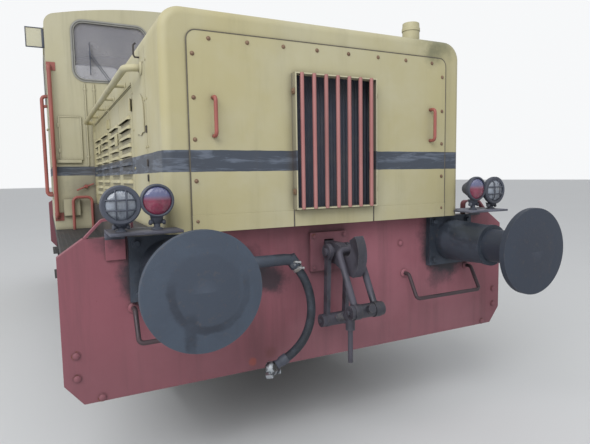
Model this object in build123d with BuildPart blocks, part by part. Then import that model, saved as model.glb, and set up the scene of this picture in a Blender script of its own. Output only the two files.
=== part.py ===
"""Two-axle diesel shunting locomotive: long front hood, rear cab, side buffers and screw couplings.

Millimetres. X is across the track, -Y is the front, +Z is up. The wheel flanges stand on Z = 0, so the
rail head is one flange depth higher.
"""

import os
from math import asin, atan2, cos, degrees, hypot, radians, sin, sqrt, tan

from build123d import *

os.makedirs("parts", exist_ok=True)

# Lengths along the track, from the front beam's face to the rear one's
hood_length = 3375
cab_length = 2100
rear_platform = 425
frame_length = hood_length + cab_length + rear_platform
front = -frame_length / 2
cab_face = front + hood_length
cab_back = cab_face + cab_length

# Wheels and axles
flange_depth = 28
rail_top = flange_depth
tread_radius = 425
wheelbase = 2900
back_to_back = 1360
tyre_width = 135
tyre_thickness = 60
tread_edge = 10
web_thickness = 40
web_relief = 12
hub_radius = 130
hub_length = 180
axle_radius = 75
journal_radius = 60
journal_end = 985
bearing_gap = 0.5
axle_height = rail_top + tread_radius
axle_places = (-wheelbase / 2, wheelbase / 2)

# Main frame and end beams
beam_thickness = 50
beam_half_width = 1340
beam_bottom = rail_top + 455
beam_top = rail_top + 1200
beam_top_cut = (107, 75)
beam_bottom_cut = (78, 98)
guide_width = 230
guide_height = 210
guide_proud = 24
guide_slot_gap = 4
guide_slot_height = 128
deck_top = rail_top + 1203
deck_thickness = 12
plate_outer = 915
plate_thickness = 28
plate_bottom = rail_top + 560
horn_bottom = rail_top + 250
horn_top = rail_top + 690
horn_gap = 280
horn_foot = 100
horn_slope = 190
stretcher_thickness = 20
stretcher_bottom = rail_top + 930
end_bay = 400
centre_bay = 1400
walkway_top = rail_top + 940
walkway_thickness = 10
valance_depth = 90
bracket_thickness = 10
bracket_depth = 216
bracket_gap = 60

# Axleboxes and springs
box_width = 270
box_below = 150
box_above = 160
box_inner = 860
box_outer = 1005
box_chamfer = 18
cover_radius = 105
cover_rim = 12
cover_length = 22
journal_play = 2
leaf_count = 7
leaf_thickness = 11
leaf_width = 80
leaf_step = 52
spring_half_length = 450
spring_radius = 2500
buckle_half_width = 50
buckle_wall = 14
spring_x = 965
hanger_width = 26
hanger_height = 60
hanger_sink = 4
hanger_reach = 8

# Buffers
buffer_x = 875
buffer_height = rail_top + 1050
buffer_length = 640
buffer_base_width = 340
buffer_base_height = 300
buffer_base_thickness = 30
casing_radius = 108
casing_root = 18
casing_taper = 3
casing_length = 330
collar_height = 8
collar_length = 25
plunger_radius = 92
plunger_flare = 40
head_radius = 225
head_thickness = 30
head_dome = 14

# Draw gear: hook outline as places ahead of the beam and heights above the buffer's middle
hook_plate = 50
hook_half_height = 55
hook_tail = 260
hook_neck = 130
hook_belly = (230, -90)
hook_chin = (294, -100)
hook_front = (343, -20)
hook_tip = (312, 109)
hook_lip = (262, 82)
hook_throat = (222, -4)
hook_crown = (176, 44)
hook_pin_radius = 22
pin_end = 12
pin_play = 1
link_pin_ahead = 110
link_pin_above = 10
link_width = 34
link_thickness = 22
link_gap = 22
link_eye_radius = 42
link_foot_radius = 36
lower_nut_ahead = 90
lower_nut_z = rail_top + 690
upper_nut_ahead = 370
upper_nut_z = rail_top + 800
nut_radius = 34
nut_end = 26
screw_radius = 20
screw_past_lower = 45
screw_past_upper = 60
bow_radius = 17
bow_eye_radius = 38
bow_ahead = 215
bow_above = 30
bow_bend = 30
lever_radius = 13
lever_length = 254
lever_socket_radius = 24
lever_socket_length = 80

# Hood
hood_half_width = 885
hood_overhang = 80
hood_front = front - hood_overhang
hood_top = rail_top + 2228
hood_roof_radius = 105
hood_corner_radius = 40
hood_wall = 25
nose_seam = 284
seam_width = 5
seam_depth = 4
hatch_start = 330
hatch_width = 215
hatch_bottom = rail_top + 1700
hatch_top = rail_top + 1905
hatch_proud = 6
panel_half_width = 765
panel_top = rail_top + 2122
panel_radius = 45
panel_thickness = 6
grille_half_width = 244
grille_bottom = rail_top + 1291
grille_top = rail_top + 1966
grille_proud = 51
grille_edge = 6
grille_bar_count = 7
grille_bar_pitch = 69
grille_bar_radius = 10
grille_bar_proud = 8
grille_bar_end = 1
core_half_width = 560
core_setback = 60
core_thickness = 130
core_above_grille = 60
engine_half_width = 420
engine_start = 650
engine_rear_gap = 725
engine_height = 780
exhaust_inset = 245
exhaust_back = 75
exhaust_radius = 50
exhaust_wall = 5
exhaust_height = 90
exhaust_collar = 14
exhaust_collar_height = 8

# Hood side doors, in two bays a side, measured back from the front beam's face
door_first = 725
door_last_margin = 290
door_pitch = (hood_length - door_first - door_last_margin) / 4
door_post = 60
door_bottom = rail_top + 1240
door_top = rail_top + 1995
door_gap = 6
door_sheet = 4
door_rim = 22
louvre_margin = 68
louvre_radius = 30
louvre_inset = 8
louvre_wall = 2.5
louvre_pitch = 55
louvre_rows = 10
louvre_first = rail_top + 1815
hinge_offset = 12
hinge_radius = 6
hinge_length = 70
hinge_inset = 105
strap_thickness = 3
strap_reach = 60
strap_bend = 24
latch_inset = 34
latch_z = rail_top + 1725
latch_radius = 7
latch_proud = 24
latch_length = 80
drip_above = 8
drip_height = 12
drip_proud = 6

# Cab
cab_half_width = 1293
cab_wall = 45
cab_bottom = walkway_top
roof_crown = rail_top + 3282
roof_radius = 5100
roof_corner = 120
eave_margin = 10
roof_shoulder = roof_crown - roof_radius + sqrt(roof_radius**2 - cab_half_width**2)
roof_eave = roof_shoulder - roof_corner - eave_margin
floor_thickness = 30
floor_top = deck_top + floor_thickness
window_inner = 287
window_edge = 259
window_outer = cab_half_width - window_edge
window_bottom = rail_top + 2490
window_top = rail_top + 3090
window_radius = 110
lintel = 45
cab_door_start = 175
cab_door_width = 640
cab_door_top = roof_eave - lintel
cab_door_thickness = 40
cab_door_gap = 6
door_pane_margin = 100
door_pane_head = 140
door_pane_radius = 60
door_handle_radius = 9
door_handle_proud = 24
door_handle_length = 130
door_handle_z = rail_top + 2000
side_window_start = 1010
side_window_length = 780
side_window_bottom = rail_top + 2440
side_window_top = cab_door_top
glass_thickness = 8
seal_lip = 14
seal_flange = 18
seal_proud = 9
cover_inner = 991
cover_outer = 1211
cover_bottom = rail_top + 1664
cover_top = rail_top + 2113
cover_proud = 10
tray_inner = 1007
tray_outer = 1250
tray_drop = 30
tray_proud = 34
locker_inner = 1050
locker_outer = 1205
locker_bottom = rail_top + 1085
locker_top = rail_top + 1256
locker_proud = 50

# Desk and seat: the desk's outline as depths behind the cab's front wall and heights above the floor
desk_half_width = 480
desk_outline = ((0, 0), (150, 0), (150, 560), (330, 700), (330, 745), (215, 790), (110, 960), (0, 960))
seat_x = -150
seat_back_from_face = 1150
seat_width = 440
seat_depth = 430
seat_height = 430
seat_pan = 24
seat_post_radius = 38
seat_foot_radius = 150
seat_foot_height = 16
seat_back_height = 470
seat_back_thickness = 22
cushion_thickness = 75
cushion_inset = 12
cushion_radius = 28

# Handrails, lamps and steps
rail_pipe_radius = 19
hood_rail_reach = 80
hood_rail_z = rail_top + 2030
hood_rail_start = 375
hood_rail_rear_gap = 175
hood_rail_bend = 60
stay_radius = 11
stay_count = 4
grab_radius = 9
grab_bend = 20
grab_x = 650
grab_bottom = rail_top + 1650
grab_top = rail_top + 1826
grab_proud = 42
shelf_leg_gap = 10
shelf_leg_width = 87
shelf_leg_height = 140
shelf_outer = buffer_x + buffer_base_width / 2 + shelf_leg_gap + shelf_leg_width
lamp_edge_gap = 54
lamp_pitch = 150
white_lamp_x = shelf_outer - lamp_edge_gap
red_lamp_x = white_lamp_x - lamp_pitch
white_lamp_z = rail_top + 1351
white_lamp_radius = 80
red_lamp_z = rail_top + 1365
red_lamp_radius = 69
lamp_depth = 90
lamp_clearance = 5
lamp_rim = 8
lamp_rim_depth = 22
lamp_lens_recess = 8
lamp_lens_crown = 6
lamp_back_share = 0.45
lamp_post_radius = 11
lamp_post_sink = 14
shelf_inner = red_lamp_x - 96
shelf_top = rail_top + 1238
shelf_thickness = 12
shelf_reach = 230
shelf_clearance = 6
shelf_side_clearance = 15
hoop_foot_inset = 115
hoop_shoulder_inset = 190
hoop_inner_inset = 318
hoop_height = 82
hoop_slope = 4
hoop_bend = 25
hoop_width = 35
hoop_thickness = 10
cab_rail_reach = 57
cab_rail_bottom = rail_top + 1300
cab_rail_top = rail_top + 2320
cab_rail_radius = 18
cab_rail_bend = 36
cab_rail_offset = 65
corner_rail_inset = 22
corner_rail_bottom = rail_top + 1075
corner_rail_top = rail_top + 2610
corner_rail_radius = 20
corner_rail_proud = 60
corner_rail_bend = 34
corner_plate_size = 84
corner_plate_thickness = 6
pipe_hoop_outer = 1117
pipe_hoop_gap = 20
pipe_hoop_ahead = 90
pipe_hoop_top = rail_top + 1275
pipe_hoop_radius = 15
pipe_hoop_bend = 50
buffer_rail_inside = 341
buffer_rail_outside = 157
buffer_rail_foot = rail_top + 868
buffer_rail_low = rail_top + 734
buffer_rail_reach = 120
buffer_rail_stub = 45
buffer_rail_radius = 11
buffer_rail_bend = 22
deflector_reach = 170
deflector_setback = 60
deflector_bottom = rail_top + 2800
deflector_height = 195
deflector_thickness = 8
step_levels = (rail_top + 400, rail_top + 670)
step_width = 560
step_depth = 230
step_reach = 37
step_thickness = 10
step_side_drop = 60

# Brake gear, tanks and sandboxes
block_gap = 8
block_thickness = 45
block_inner = 722
block_outer = 806
block_spread = 26
block_overlap = 6
brake_shaft_radius = 28
brake_shaft_drop = 40
hanger_bar = 30
hanger_bar_inset = 20
hanger_bar_drop = 80
tank_outer = 1235
tank_length = 1040
tank_step_gap = 120
tank_bottom = rail_top + 470
tank_top = rail_top + 850
tank_radius = 40
reservoir_radius = 150
reservoir_length = 960
reservoir_z = rail_top + 660
reservoir_gap = 12
reservoir_end_radius = 40
strap_width = 40
reservoir_strap_spread = 600
strap_wrap = 6
strap_foot_height = 200
sandbox_width = 210
sandbox_length = 280
sandbox_gap = 60
sandbox_bottom = rail_top + 560
sand_pipe_radius = 16
sand_pipe_inset = 60
sand_pipe_drop = 90
sand_pipe_bend = 60
sand_pipe_tread_offset = 70
sand_pipe_tip_gap = 60
sand_pipe_tip_z = rail_top + 120

# Brake hose: the points of its route as offsets from the middle of the front beam at rail level
hose_radius = 22
hose_route = (
    (-250, -118, 1003),
    (-213, -130, 944),
    (-186, -142, 863),
    (-181, -150, 773),
    (-200, -156, 691),
    (-240, -158, 622),
    (-295, -154, 570),
    (-352, -146, 537),
)
hose_bend_share = 0.45
cock_x = -480
cock_height = rail_top + 1042
cock_radius = 29
cock_bend = 32
cock_run = 30
ferrule_radius = 31
ferrule_length = 62
ferrule_sink = 20
head_neck_radius = 27
head_neck_length = 46
head_offset = 78
head_ring_radius = 44
head_bore_radius = 17
head_width = 52


def save(part, name):
    part.label = name
    export_step(part, f"parts/{name}.step")


def block(x0, x1, y0, y1, z0, z1):
    """A plain rectangular solid between two corners."""
    with BuildPart() as piece:
        with BuildSketch(Plane.XY.offset(z0)):
            with Locations(((x0 + x1) / 2, (y0 + y1) / 2)):
                Rectangle(abs(x1 - x0), abs(y1 - y0))
        extrude(amount=z1 - z0)
    return piece.part


def pipe(points, radius, bend):
    """A round bar or pipe along straight runs with one bend radius."""
    with BuildPart() as piece:
        with BuildLine() as route:
            if len(points) > 2:
                FilletPolyline(*points, radius=bend)
            else:
                Line(*points)
        with BuildSketch(Plane(origin=route.line @ 0, z_dir=route.line % 0)):
            Circle(radius)
        sweep()
    return piece.part


def rod(start, end, radius):
    """A straight round bar between two points."""
    return pipe((start, end), radius, 0)


def ball(centre, radius):
    """A ball turned from a half disc."""
    with BuildPart() as piece:
        with BuildSketch(Plane(origin=centre, x_dir=(1, 0, 0), z_dir=(0, -1, 0))):
            Circle(radius)
            with Locations((-radius, 0)):
                Rectangle(2 * radius, 2 * radius, mode=Mode.SUBTRACT)
        revolve(axis=Axis(centre, (0, 0, 1)))
    return piece.part


def crosswise(y, z=0):
    """The plane across the track at y, with X to the right and Z up."""
    return Plane(origin=(0, y, z), x_dir=(1, 0, 0), z_dir=(0, -1, 0))


def lengthwise(x, z=0):
    """The plane along the track at x, with Y to the right and Z up."""
    return Plane(origin=(x, 0, z), x_dir=(0, 1, 0), z_dir=(1, 0, 0))


# Main frame: two deep side plates with axlebox horns, stretchers and a deck
half_frame = frame_length / 2 - beam_thickness
plate_top = deck_top - deck_thickness
with BuildPart() as side_plate:
    with BuildSketch(lengthwise(plate_outer - plate_thickness)):
        with Locations((0, (plate_bottom + plate_top) / 2)):
            Rectangle(2 * half_frame, plate_top - plate_bottom)
        for axle_y in axle_places:
            foot = horn_gap / 2 + horn_foot
            with BuildLine():
                Polyline(
                    (axle_y - foot - horn_slope, plate_bottom),
                    (axle_y - foot, horn_bottom),
                    (axle_y + foot, horn_bottom),
                    (axle_y + foot + horn_slope, plate_bottom),
                    close=True,
                )
            make_face()
            with Locations((axle_y, (horn_bottom + horn_top) / 2)):
                Rectangle(horn_gap, horn_top - horn_bottom, mode=Mode.SUBTRACT)
    extrude(amount=plate_thickness)
deck = block(-plate_outer, plate_outer, -half_frame, half_frame, plate_top, deck_top)
stretchers = []
for place, low in (
    (half_frame - end_bay, stretcher_bottom),
    (wheelbase / 2, stretcher_bottom),
    (centre_bay / 2, plate_bottom),
):
    for side in (-1, 1):
        stretchers.append(block(
            -plate_outer + plate_thickness, plate_outer - plate_thickness,
            side * place - stretcher_thickness / 2, side * place + stretcher_thickness / 2,
            low, plate_top))
with BuildPart() as main_frame:
    add(side_plate.part)
    mirror(about=Plane.YZ)
    add(deck)
    for stretcher in stretchers:
        add(stretcher)
save(main_frame.part, "main_frame")

# End beams: thick plates with cut corners and a raised guide round the hook's slot
with BuildPart() as end_beams:
    with BuildSketch(crosswise(front + beam_thickness)):
        with BuildLine():
            Polyline(
                (-beam_half_width + beam_bottom_cut[0], beam_bottom),
                (beam_half_width - beam_bottom_cut[0], beam_bottom),
                (beam_half_width, beam_bottom + beam_bottom_cut[1]),
                (beam_half_width, beam_top - beam_top_cut[1]),
                (beam_half_width - beam_top_cut[0], beam_top),
                (-beam_half_width + beam_top_cut[0], beam_top),
                (-beam_half_width, beam_top - beam_top_cut[1]),
                (-beam_half_width, beam_bottom + beam_bottom_cut[1]),
                close=True,
            )
        make_face()
    extrude(amount=beam_thickness)
    with BuildSketch(crosswise(front)):
        with Locations((0, buffer_height)):
            Rectangle(guide_width, guide_height)
    extrude(amount=guide_proud)
    with BuildSketch(crosswise(front + beam_thickness)):
        with Locations((0, buffer_height)):
            Rectangle(hook_plate + 2 * guide_slot_gap, guide_slot_height)
    extrude(amount=beam_thickness + guide_proud, mode=Mode.SUBTRACT)
    mirror(about=Plane.XZ)
save(end_beams.part, "end_beams")

# Buffers: square base, tapered round casing with a collar, plunger and domed head
with BuildPart() as buffer_casings:
    with BuildSketch(crosswise(front)):
        with Locations((buffer_x, buffer_height)):
            Rectangle(buffer_base_width, buffer_base_height)
    extrude(amount=buffer_base_thickness)
    with BuildSketch(crosswise(front - buffer_base_thickness)):
        with Locations((buffer_x, buffer_height)):
            Circle(casing_radius + casing_root)
    extrude(amount=casing_length - buffer_base_thickness, taper=casing_taper)
    with BuildSketch(crosswise(front - casing_length)):
        with Locations((buffer_x, buffer_height)):
            Circle(casing_radius + collar_height)
    extrude(amount=collar_length)
    mirror(about=Plane.YZ)
    mirror(about=Plane.XZ)
save(buffer_casings.part, "buffer_casings")

buffer_face = front - buffer_length
plunger_start = front - casing_length - collar_length
head_back = buffer_face + head_dome + head_thickness
dome_radius = (head_radius**2 + head_dome**2) / (2 * head_dome)
with BuildPart() as buffer_heads:
    with BuildSketch(Plane(origin=(buffer_x, 0, buffer_height), x_dir=(1, 0, 0), z_dir=(0, 0, 1))):
        with BuildLine():
            outline = Polyline(
                (0, buffer_face),
                (0, plunger_start),
                (plunger_radius, plunger_start),
                (plunger_radius, head_back + plunger_flare),
                (plunger_radius + plunger_flare, head_back),
                (head_radius, head_back),
                (head_radius, buffer_face + head_dome),
            )
            RadiusArc(outline @ 1, outline @ 0, dome_radius)
        make_face()
    revolve(axis=Axis((buffer_x, 0, buffer_height), (0, 1, 0)))
    mirror(about=Plane.YZ)
    mirror(about=Plane.XZ)
save(buffer_heads.part, "buffer_heads")


def hook_point(place):
    """A point of the hook's outline from its place ahead of the beam and its height."""
    return (front - place[0], buffer_height + place[1])


# Draw hooks: a shank through the beam, a chin, a raised tip and a round throat for the bow
with BuildPart() as draw_hooks:
    with BuildSketch(lengthwise(-hook_plate / 2)):
        with BuildLine():
            under = Line((front + hook_tail, buffer_height - hook_half_height),
                         hook_point((hook_neck, -hook_half_height)))
            chin = ThreePointArc(under @ 1, hook_point(hook_belly), hook_point(hook_chin))
            nose = ThreePointArc(chin @ 1, hook_point(hook_front), hook_point(hook_tip))
            lip = Line(nose @ 1, hook_point(hook_lip))
            throat = ThreePointArc(lip @ 1, hook_point(hook_throat), hook_point(hook_crown))
            Polyline(
                throat @ 1,
                hook_point((hook_neck, hook_half_height)),
                (front + hook_tail, buffer_height + hook_half_height),
                under @ 0,
            )
        make_face()
    extrude(amount=hook_plate)
    link_pin_y = front - link_pin_ahead
    link_pin_z = buffer_height + link_pin_above
    with BuildSketch(lengthwise(-hook_plate / 2)):
        with Locations((link_pin_y, link_pin_z)):
            Circle(hook_pin_radius + pin_play)
    extrude(amount=hook_plate, mode=Mode.SUBTRACT)
    mirror(about=Plane.XZ)
save(draw_hooks.part, "draw_hooks")

# Screw couplings: two links hang from the hook's pin, a screw joins two nuts, and the bow hangs back
# over the hook's throat
link_x = hook_plate / 2 + link_gap
link_outer = link_x + link_thickness
lower_y = front - lower_nut_ahead
upper_y = front - upper_nut_ahead
bow_y = front - bow_ahead
bow_z = buffer_height + bow_above
bow_x = link_x + link_thickness / 2
screw_run = Vector(0, upper_y - lower_y, upper_nut_z - lower_nut_z)
screw_way = screw_run.normalized()
lower_nut = Vector(0, lower_y, lower_nut_z)
upper_nut = Vector(0, upper_y, upper_nut_z)
screw_middle = lower_nut + screw_run * 0.5
lever_end = screw_middle - Vector(0, 0, lever_length)
socket_end = screw_middle - Vector(0, 0, lever_socket_length)

hang_length = hypot(lower_y - link_pin_y, lower_nut_z - link_pin_z)
hang_angle = degrees(atan2(lower_nut_z - link_pin_z, lower_y - link_pin_y))
with BuildPart() as hanging_link:
    with BuildSketch(lengthwise(link_x)):
        with Locations(((link_pin_y + lower_y) / 2, (link_pin_z + lower_nut_z) / 2)):
            SlotCenterToCenter(hang_length, link_width, rotation=hang_angle)
        with Locations((link_pin_y, link_pin_z)):
            Circle(link_eye_radius)
        with Locations((lower_y, lower_nut_z)):
            Circle(link_foot_radius)
    extrude(amount=link_thickness)
with BuildPart() as bow_eye:
    with BuildSketch(lengthwise(bow_x - bow_radius)):
        with Locations((upper_y, upper_nut_z)):
            Circle(bow_eye_radius)
    extrude(amount=2 * bow_radius)
bow = pipe([
    (-bow_x, upper_y, upper_nut_z),
    (-bow_x, bow_y, bow_z),
    (bow_x, bow_y, bow_z),
    (bow_x, upper_y, upper_nut_z),
], bow_radius, bow_bend)
coupling_bars = [
    rod((-link_outer - pin_end, link_pin_y, link_pin_z), (link_outer + pin_end, link_pin_y, link_pin_z),
        hook_pin_radius),
    rod((-link_outer - nut_end, lower_y, lower_nut_z), (link_outer + nut_end, lower_y, lower_nut_z),
        nut_radius),
    rod((-link_outer - nut_end, upper_y, upper_nut_z), (link_outer + nut_end, upper_y, upper_nut_z),
        nut_radius),
    rod(tuple(lower_nut - screw_way * screw_past_lower), tuple(upper_nut + screw_way * screw_past_upper),
        screw_radius),
    rod(tuple(screw_middle), tuple(lever_end), lever_radius),
    rod(tuple(screw_middle), tuple(socket_end), lever_socket_radius),
    ball(tuple(screw_middle), nut_radius),
    bow,
]
with BuildPart() as screw_couplings:
    add(hanging_link.part)
    add(bow_eye.part)
    mirror(about=Plane.YZ)
    for piece in coupling_bars:
        add(piece)
    mirror(about=Plane.XZ)
save(screw_couplings.part, "screw_couplings")

# Wheelsets: axle, hubs, dished webs and flanged tyres turned in one piece
half_back = back_to_back / 2
web_inner = half_back + (tyre_width - web_thickness) / 2
web_outer = web_inner + web_thickness
rim_radius = tread_radius - tyre_thickness
hub_inner = half_back - (hub_length - tyre_width) / 2
hub_outer = hub_inner + hub_length
# Tyre outline: distance out from its back face, height above the tread
tyre_outline = (
    (0, flange_depth - 12),
    (9, flange_depth),
    (20, flange_depth - 2),
    (33, 3),
    (70, 0),
    (tyre_width - 6, -tread_edge / 2),
    (tyre_width, -tread_edge),
)
for wheelset_name, axle_y in zip(("wheelset_front", "wheelset_rear"), axle_places):
    with BuildPart() as wheelset:
        with BuildSketch(crosswise(axle_y, axle_height)):
            with BuildLine():
                Polyline(
                    (0, 0),
                    (0, axle_radius),
                    (hub_inner, axle_radius),
                    (hub_inner, hub_radius),
                    (web_inner, hub_radius + web_relief),
                    (web_inner, rim_radius - web_relief),
                    (half_back, rim_radius),
                    *[(half_back + out, tread_radius + up) for out, up in tyre_outline],
                    (half_back + tyre_width, rim_radius),
                    (web_outer, rim_radius - web_relief),
                    (web_outer, hub_radius + web_relief),
                    (hub_outer, hub_radius),
                    (hub_outer, journal_radius),
                    (journal_end, journal_radius),
                    (journal_end, 0),
                    close=True,
                )
            make_face()
        revolve(axis=Axis((0, axle_y, axle_height), (1, 0, 0)))
        mirror(about=Plane.YZ)
    save(wheelset.part, wheelset_name)

# Axleboxes: a housing with bevelled front edges, a round cover and a bore for the journal
axlebox_shapes = []
for axle_y in axle_places:
    with BuildPart() as housing:
        with BuildSketch(lengthwise(box_inner, axle_height)):
            with Locations((axle_y, (box_above - box_below) / 2)):
                Rectangle(box_width, box_above + box_below)
        extrude(amount=box_outer - box_inner)
        chamfer(housing.faces().sort_by(Axis.X)[-1].edges(), box_chamfer)
        for radius, length in ((cover_radius, cover_length / 2), (cover_radius - cover_rim, cover_length)):
            with BuildSketch(lengthwise(box_outer, axle_height)):
                with Locations((axle_y, 0)):
                    Circle(radius)
            extrude(amount=length)
        with BuildSketch(lengthwise(box_inner, axle_height)):
            with Locations((axle_y, 0)):
                Circle(journal_radius + bearing_gap)
        extrude(amount=journal_end + journal_play - box_inner, mode=Mode.SUBTRACT)
    axlebox_shapes.append(housing.part)
with BuildPart() as axleboxes:
    for piece in axlebox_shapes:
        add(piece)
    mirror(about=Plane.YZ)
save(axleboxes.part, "axleboxes")

# Leaf springs on the axleboxes, each in a buckle, with a hanger at both ends
stack_bottom = axle_height + box_above + buckle_wall
stack_top = stack_bottom + leaf_count * leaf_thickness
arc_centre = stack_top + spring_radius


def leaf(axle_y, index):
    """One leaf: a band between two arcs round the spring's own centre."""
    inner = spring_radius + index * leaf_thickness
    outer = inner + leaf_thickness
    reach = asin((spring_half_length - index * leaf_step) / inner)
    with BuildPart() as piece:
        with BuildSketch(lengthwise(spring_x - leaf_width / 2)):
            with BuildLine():
                ends = [
                    (axle_y + side * radius * sin(reach), arc_centre - radius * cos(reach))
                    for radius, side in ((inner, -1), (inner, 1), (outer, 1), (outer, -1))
                ]
                ThreePointArc(ends[0], (axle_y, arc_centre - inner), ends[1])
                Line(ends[1], ends[2])
                ThreePointArc(ends[2], (axle_y, arc_centre - outer), ends[3])
                Line(ends[3], ends[0])
            make_face()
        extrude(amount=leaf_width)
    return piece.part


spring_parts = []
spring_end_z = stack_top + spring_radius - sqrt(spring_radius**2 - spring_half_length**2)
for axle_y in axle_places:
    for index in range(leaf_count):
        spring_parts.append(leaf(axle_y, index))
    spring_parts.append(block(
        spring_x - leaf_width / 2 - buckle_wall, spring_x + leaf_width / 2 + buckle_wall,
        axle_y - buckle_half_width, axle_y + buckle_half_width,
        axle_height + box_above, stack_top + buckle_wall))
    for side in (-1, 1):
        hanger_y = axle_y + side * (spring_half_length - hanger_width)
        spring_parts.append(block(
            plate_outer, spring_x + leaf_width / 2 + hanger_reach,
            hanger_y - hanger_width / 2, hanger_y + hanger_width / 2,
            spring_end_z - hanger_sink, spring_end_z + hanger_height))
with BuildPart() as leaf_springs:
    for piece in spring_parts:
        add(piece)
    mirror(about=Plane.YZ)
save(leaf_springs.part, "leaf_springs")

# Hood: folded sheet casing on the deck, with a front opening, two door bays a side, a seam behind the
# nose, an arched hatch and a drip rail over the doors
bays = [
    (front + door_first, front + door_first + 2 * door_pitch - door_post / 2),
    (front + door_first + 2 * door_pitch + door_post / 2, front + door_first + 4 * door_pitch),
]
drip_z = door_top + drip_above
hatch_middle = front + hatch_start + hatch_width / 2
with BuildPart() as hood_shell:
    with BuildSketch(Plane.XY.offset(deck_top)):
        with Locations((0, (hood_front + cab_face) / 2)):
            Rectangle(2 * hood_half_width, cab_face - hood_front)
    extrude(amount=hood_top - deck_top)
    roof_edges = hood_shell.edges().filter_by(Axis.Y).group_by(Axis.Z)[-1]
    fillet(roof_edges, hood_roof_radius)
    front_edges = hood_shell.faces().sort_by(Axis.Y)[0].edges()
    fillet(front_edges.filter_by(lambda e: e.center().Z > deck_top + 1), hood_corner_radius)
    with BuildSketch(crosswise(cab_face)):
        with Locations((0, (deck_top + hood_top - hood_wall) / 2)):
            Rectangle(2 * (hood_half_width - hood_wall), hood_top - hood_wall - deck_top)
    hollow = extrude(amount=cab_face - hood_front - hood_wall, mode=Mode.PRIVATE)
    hollow_edges = hollow.edges().filter_by(Axis.Y).group_by(Axis.Z)[-1]
    add(hollow.fillet(hood_roof_radius - hood_wall, hollow_edges), mode=Mode.SUBTRACT)
    with BuildSketch(crosswise(hood_front + 2 * hood_wall)):
        with Locations((0, (grille_bottom + grille_top) / 2)):
            Rectangle(2 * grille_half_width, grille_top - grille_bottom)
    extrude(amount=4 * hood_wall, mode=Mode.SUBTRACT)
    with BuildSketch(lengthwise(-hood_half_width)):
        for bay_start, bay_end in bays:
            with Locations(((bay_start + bay_end) / 2, (door_bottom + door_top) / 2)):
                Rectangle(bay_end - bay_start, door_top - door_bottom)
    extrude(amount=2 * hood_half_width, mode=Mode.SUBTRACT)
    for side in (-1, 1):
        with BuildSketch(lengthwise(side * hood_half_width)):
            with Locations((front + nose_seam, (deck_top + hood_top - hood_roof_radius) / 2)):
                Rectangle(seam_width, hood_top - hood_roof_radius - deck_top)
        extrude(amount=-side * seam_depth, mode=Mode.SUBTRACT)
        with BuildSketch(lengthwise(side * hood_half_width)):
            for bay_start, bay_end in bays:
                with Locations(((bay_start + bay_end) / 2, drip_z + drip_height / 2)):
                    Rectangle(bay_end - bay_start, drip_height)
        extrude(amount=side * drip_proud)
        with BuildSketch(lengthwise(side * hood_half_width)):
            with Locations((hatch_middle, (hatch_bottom + hatch_top - hatch_width / 2) / 2)):
                Rectangle(hatch_width, hatch_top - hatch_width / 2 - hatch_bottom)
            with Locations((hatch_middle, hatch_top - hatch_width / 2)):
                Circle(hatch_width / 2)
        extrude(amount=side * hatch_proud)
save(hood_shell.part, "hood_shell")

# Cover plate on the hood's front, open at the grille
with BuildPart() as front_panel:
    with BuildSketch(crosswise(hood_front)):
        with Locations((0, (deck_top + panel_top) / 2)):
            Rectangle(2 * panel_half_width, panel_top - deck_top)
        with Locations((0, (grille_bottom + grille_top) / 2)):
            Rectangle(2 * grille_half_width, grille_top - grille_bottom, mode=Mode.SUBTRACT)
    extrude(amount=panel_thickness)
    top_corners = front_panel.edges().filter_by(Axis.Y).group_by(Axis.Z)[-1]
    fillet(top_corners, panel_radius)
save(front_panel.part, "front_panel")

# Radiator grille: a box frame with upright bars
with BuildPart() as radiator_grille:
    with BuildSketch(crosswise(hood_front)):
        with Locations((0, (grille_bottom + grille_top) / 2)):
            Rectangle(2 * grille_half_width, grille_top - grille_bottom)
            Rectangle(
                2 * (grille_half_width - grille_edge),
                grille_top - grille_bottom - 2 * grille_edge,
                mode=Mode.SUBTRACT,
            )
    extrude(amount=grille_proud)
    with BuildSketch(Plane.XY.offset(grille_bottom + grille_bar_end)):
        with Locations((0, hood_front - grille_proud + grille_bar_radius - grille_bar_proud)):
            with GridLocations(grille_bar_pitch, 0, grille_bar_count, 1):
                Circle(grille_bar_radius)
    extrude(amount=grille_top - grille_bottom - 2 * grille_bar_end)
save(radiator_grille.part, "radiator_grille")

# Radiator core behind the grille, and the engine as one block on the deck
save(block(-core_half_width, core_half_width,
           hood_front + core_setback, hood_front + core_setback + core_thickness,
           deck_top, grille_top + core_above_grille), "radiator_core")
save(block(-engine_half_width, engine_half_width, front + engine_start, cab_face - engine_rear_gap,
           deck_top, deck_top + engine_height), "engine_block")

# Exhaust stub with a collar on the hood's roof
with BuildPart() as exhaust_stub:
    for radius, height in (
        (exhaust_radius + exhaust_collar, exhaust_collar_height),
        (exhaust_radius, exhaust_height),
    ):
        with BuildSketch(Plane.XY.offset(hood_top)):
            with Locations((hood_half_width - exhaust_inset, front + exhaust_back)):
                Circle(radius)
                Circle(exhaust_radius - exhaust_wall, mode=Mode.SUBTRACT)
        extrude(amount=height)
save(exhaust_stub.part, "exhaust_stub")

# Hood side doors: a folded leaf with rows of pressed louvres open at their lower edge, hinged at its
# outer edge, with two hinge barrels on straps and a latch handle at the free edge
leaf_width_along = (bays[0][1] - bays[0][0] - 3 * door_gap) / 2
louvre_length = leaf_width_along - 2 * louvre_margin
louvre_axis = Axis((hood_half_width - louvre_inset, 0, 0), (0, 1, 0))


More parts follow.
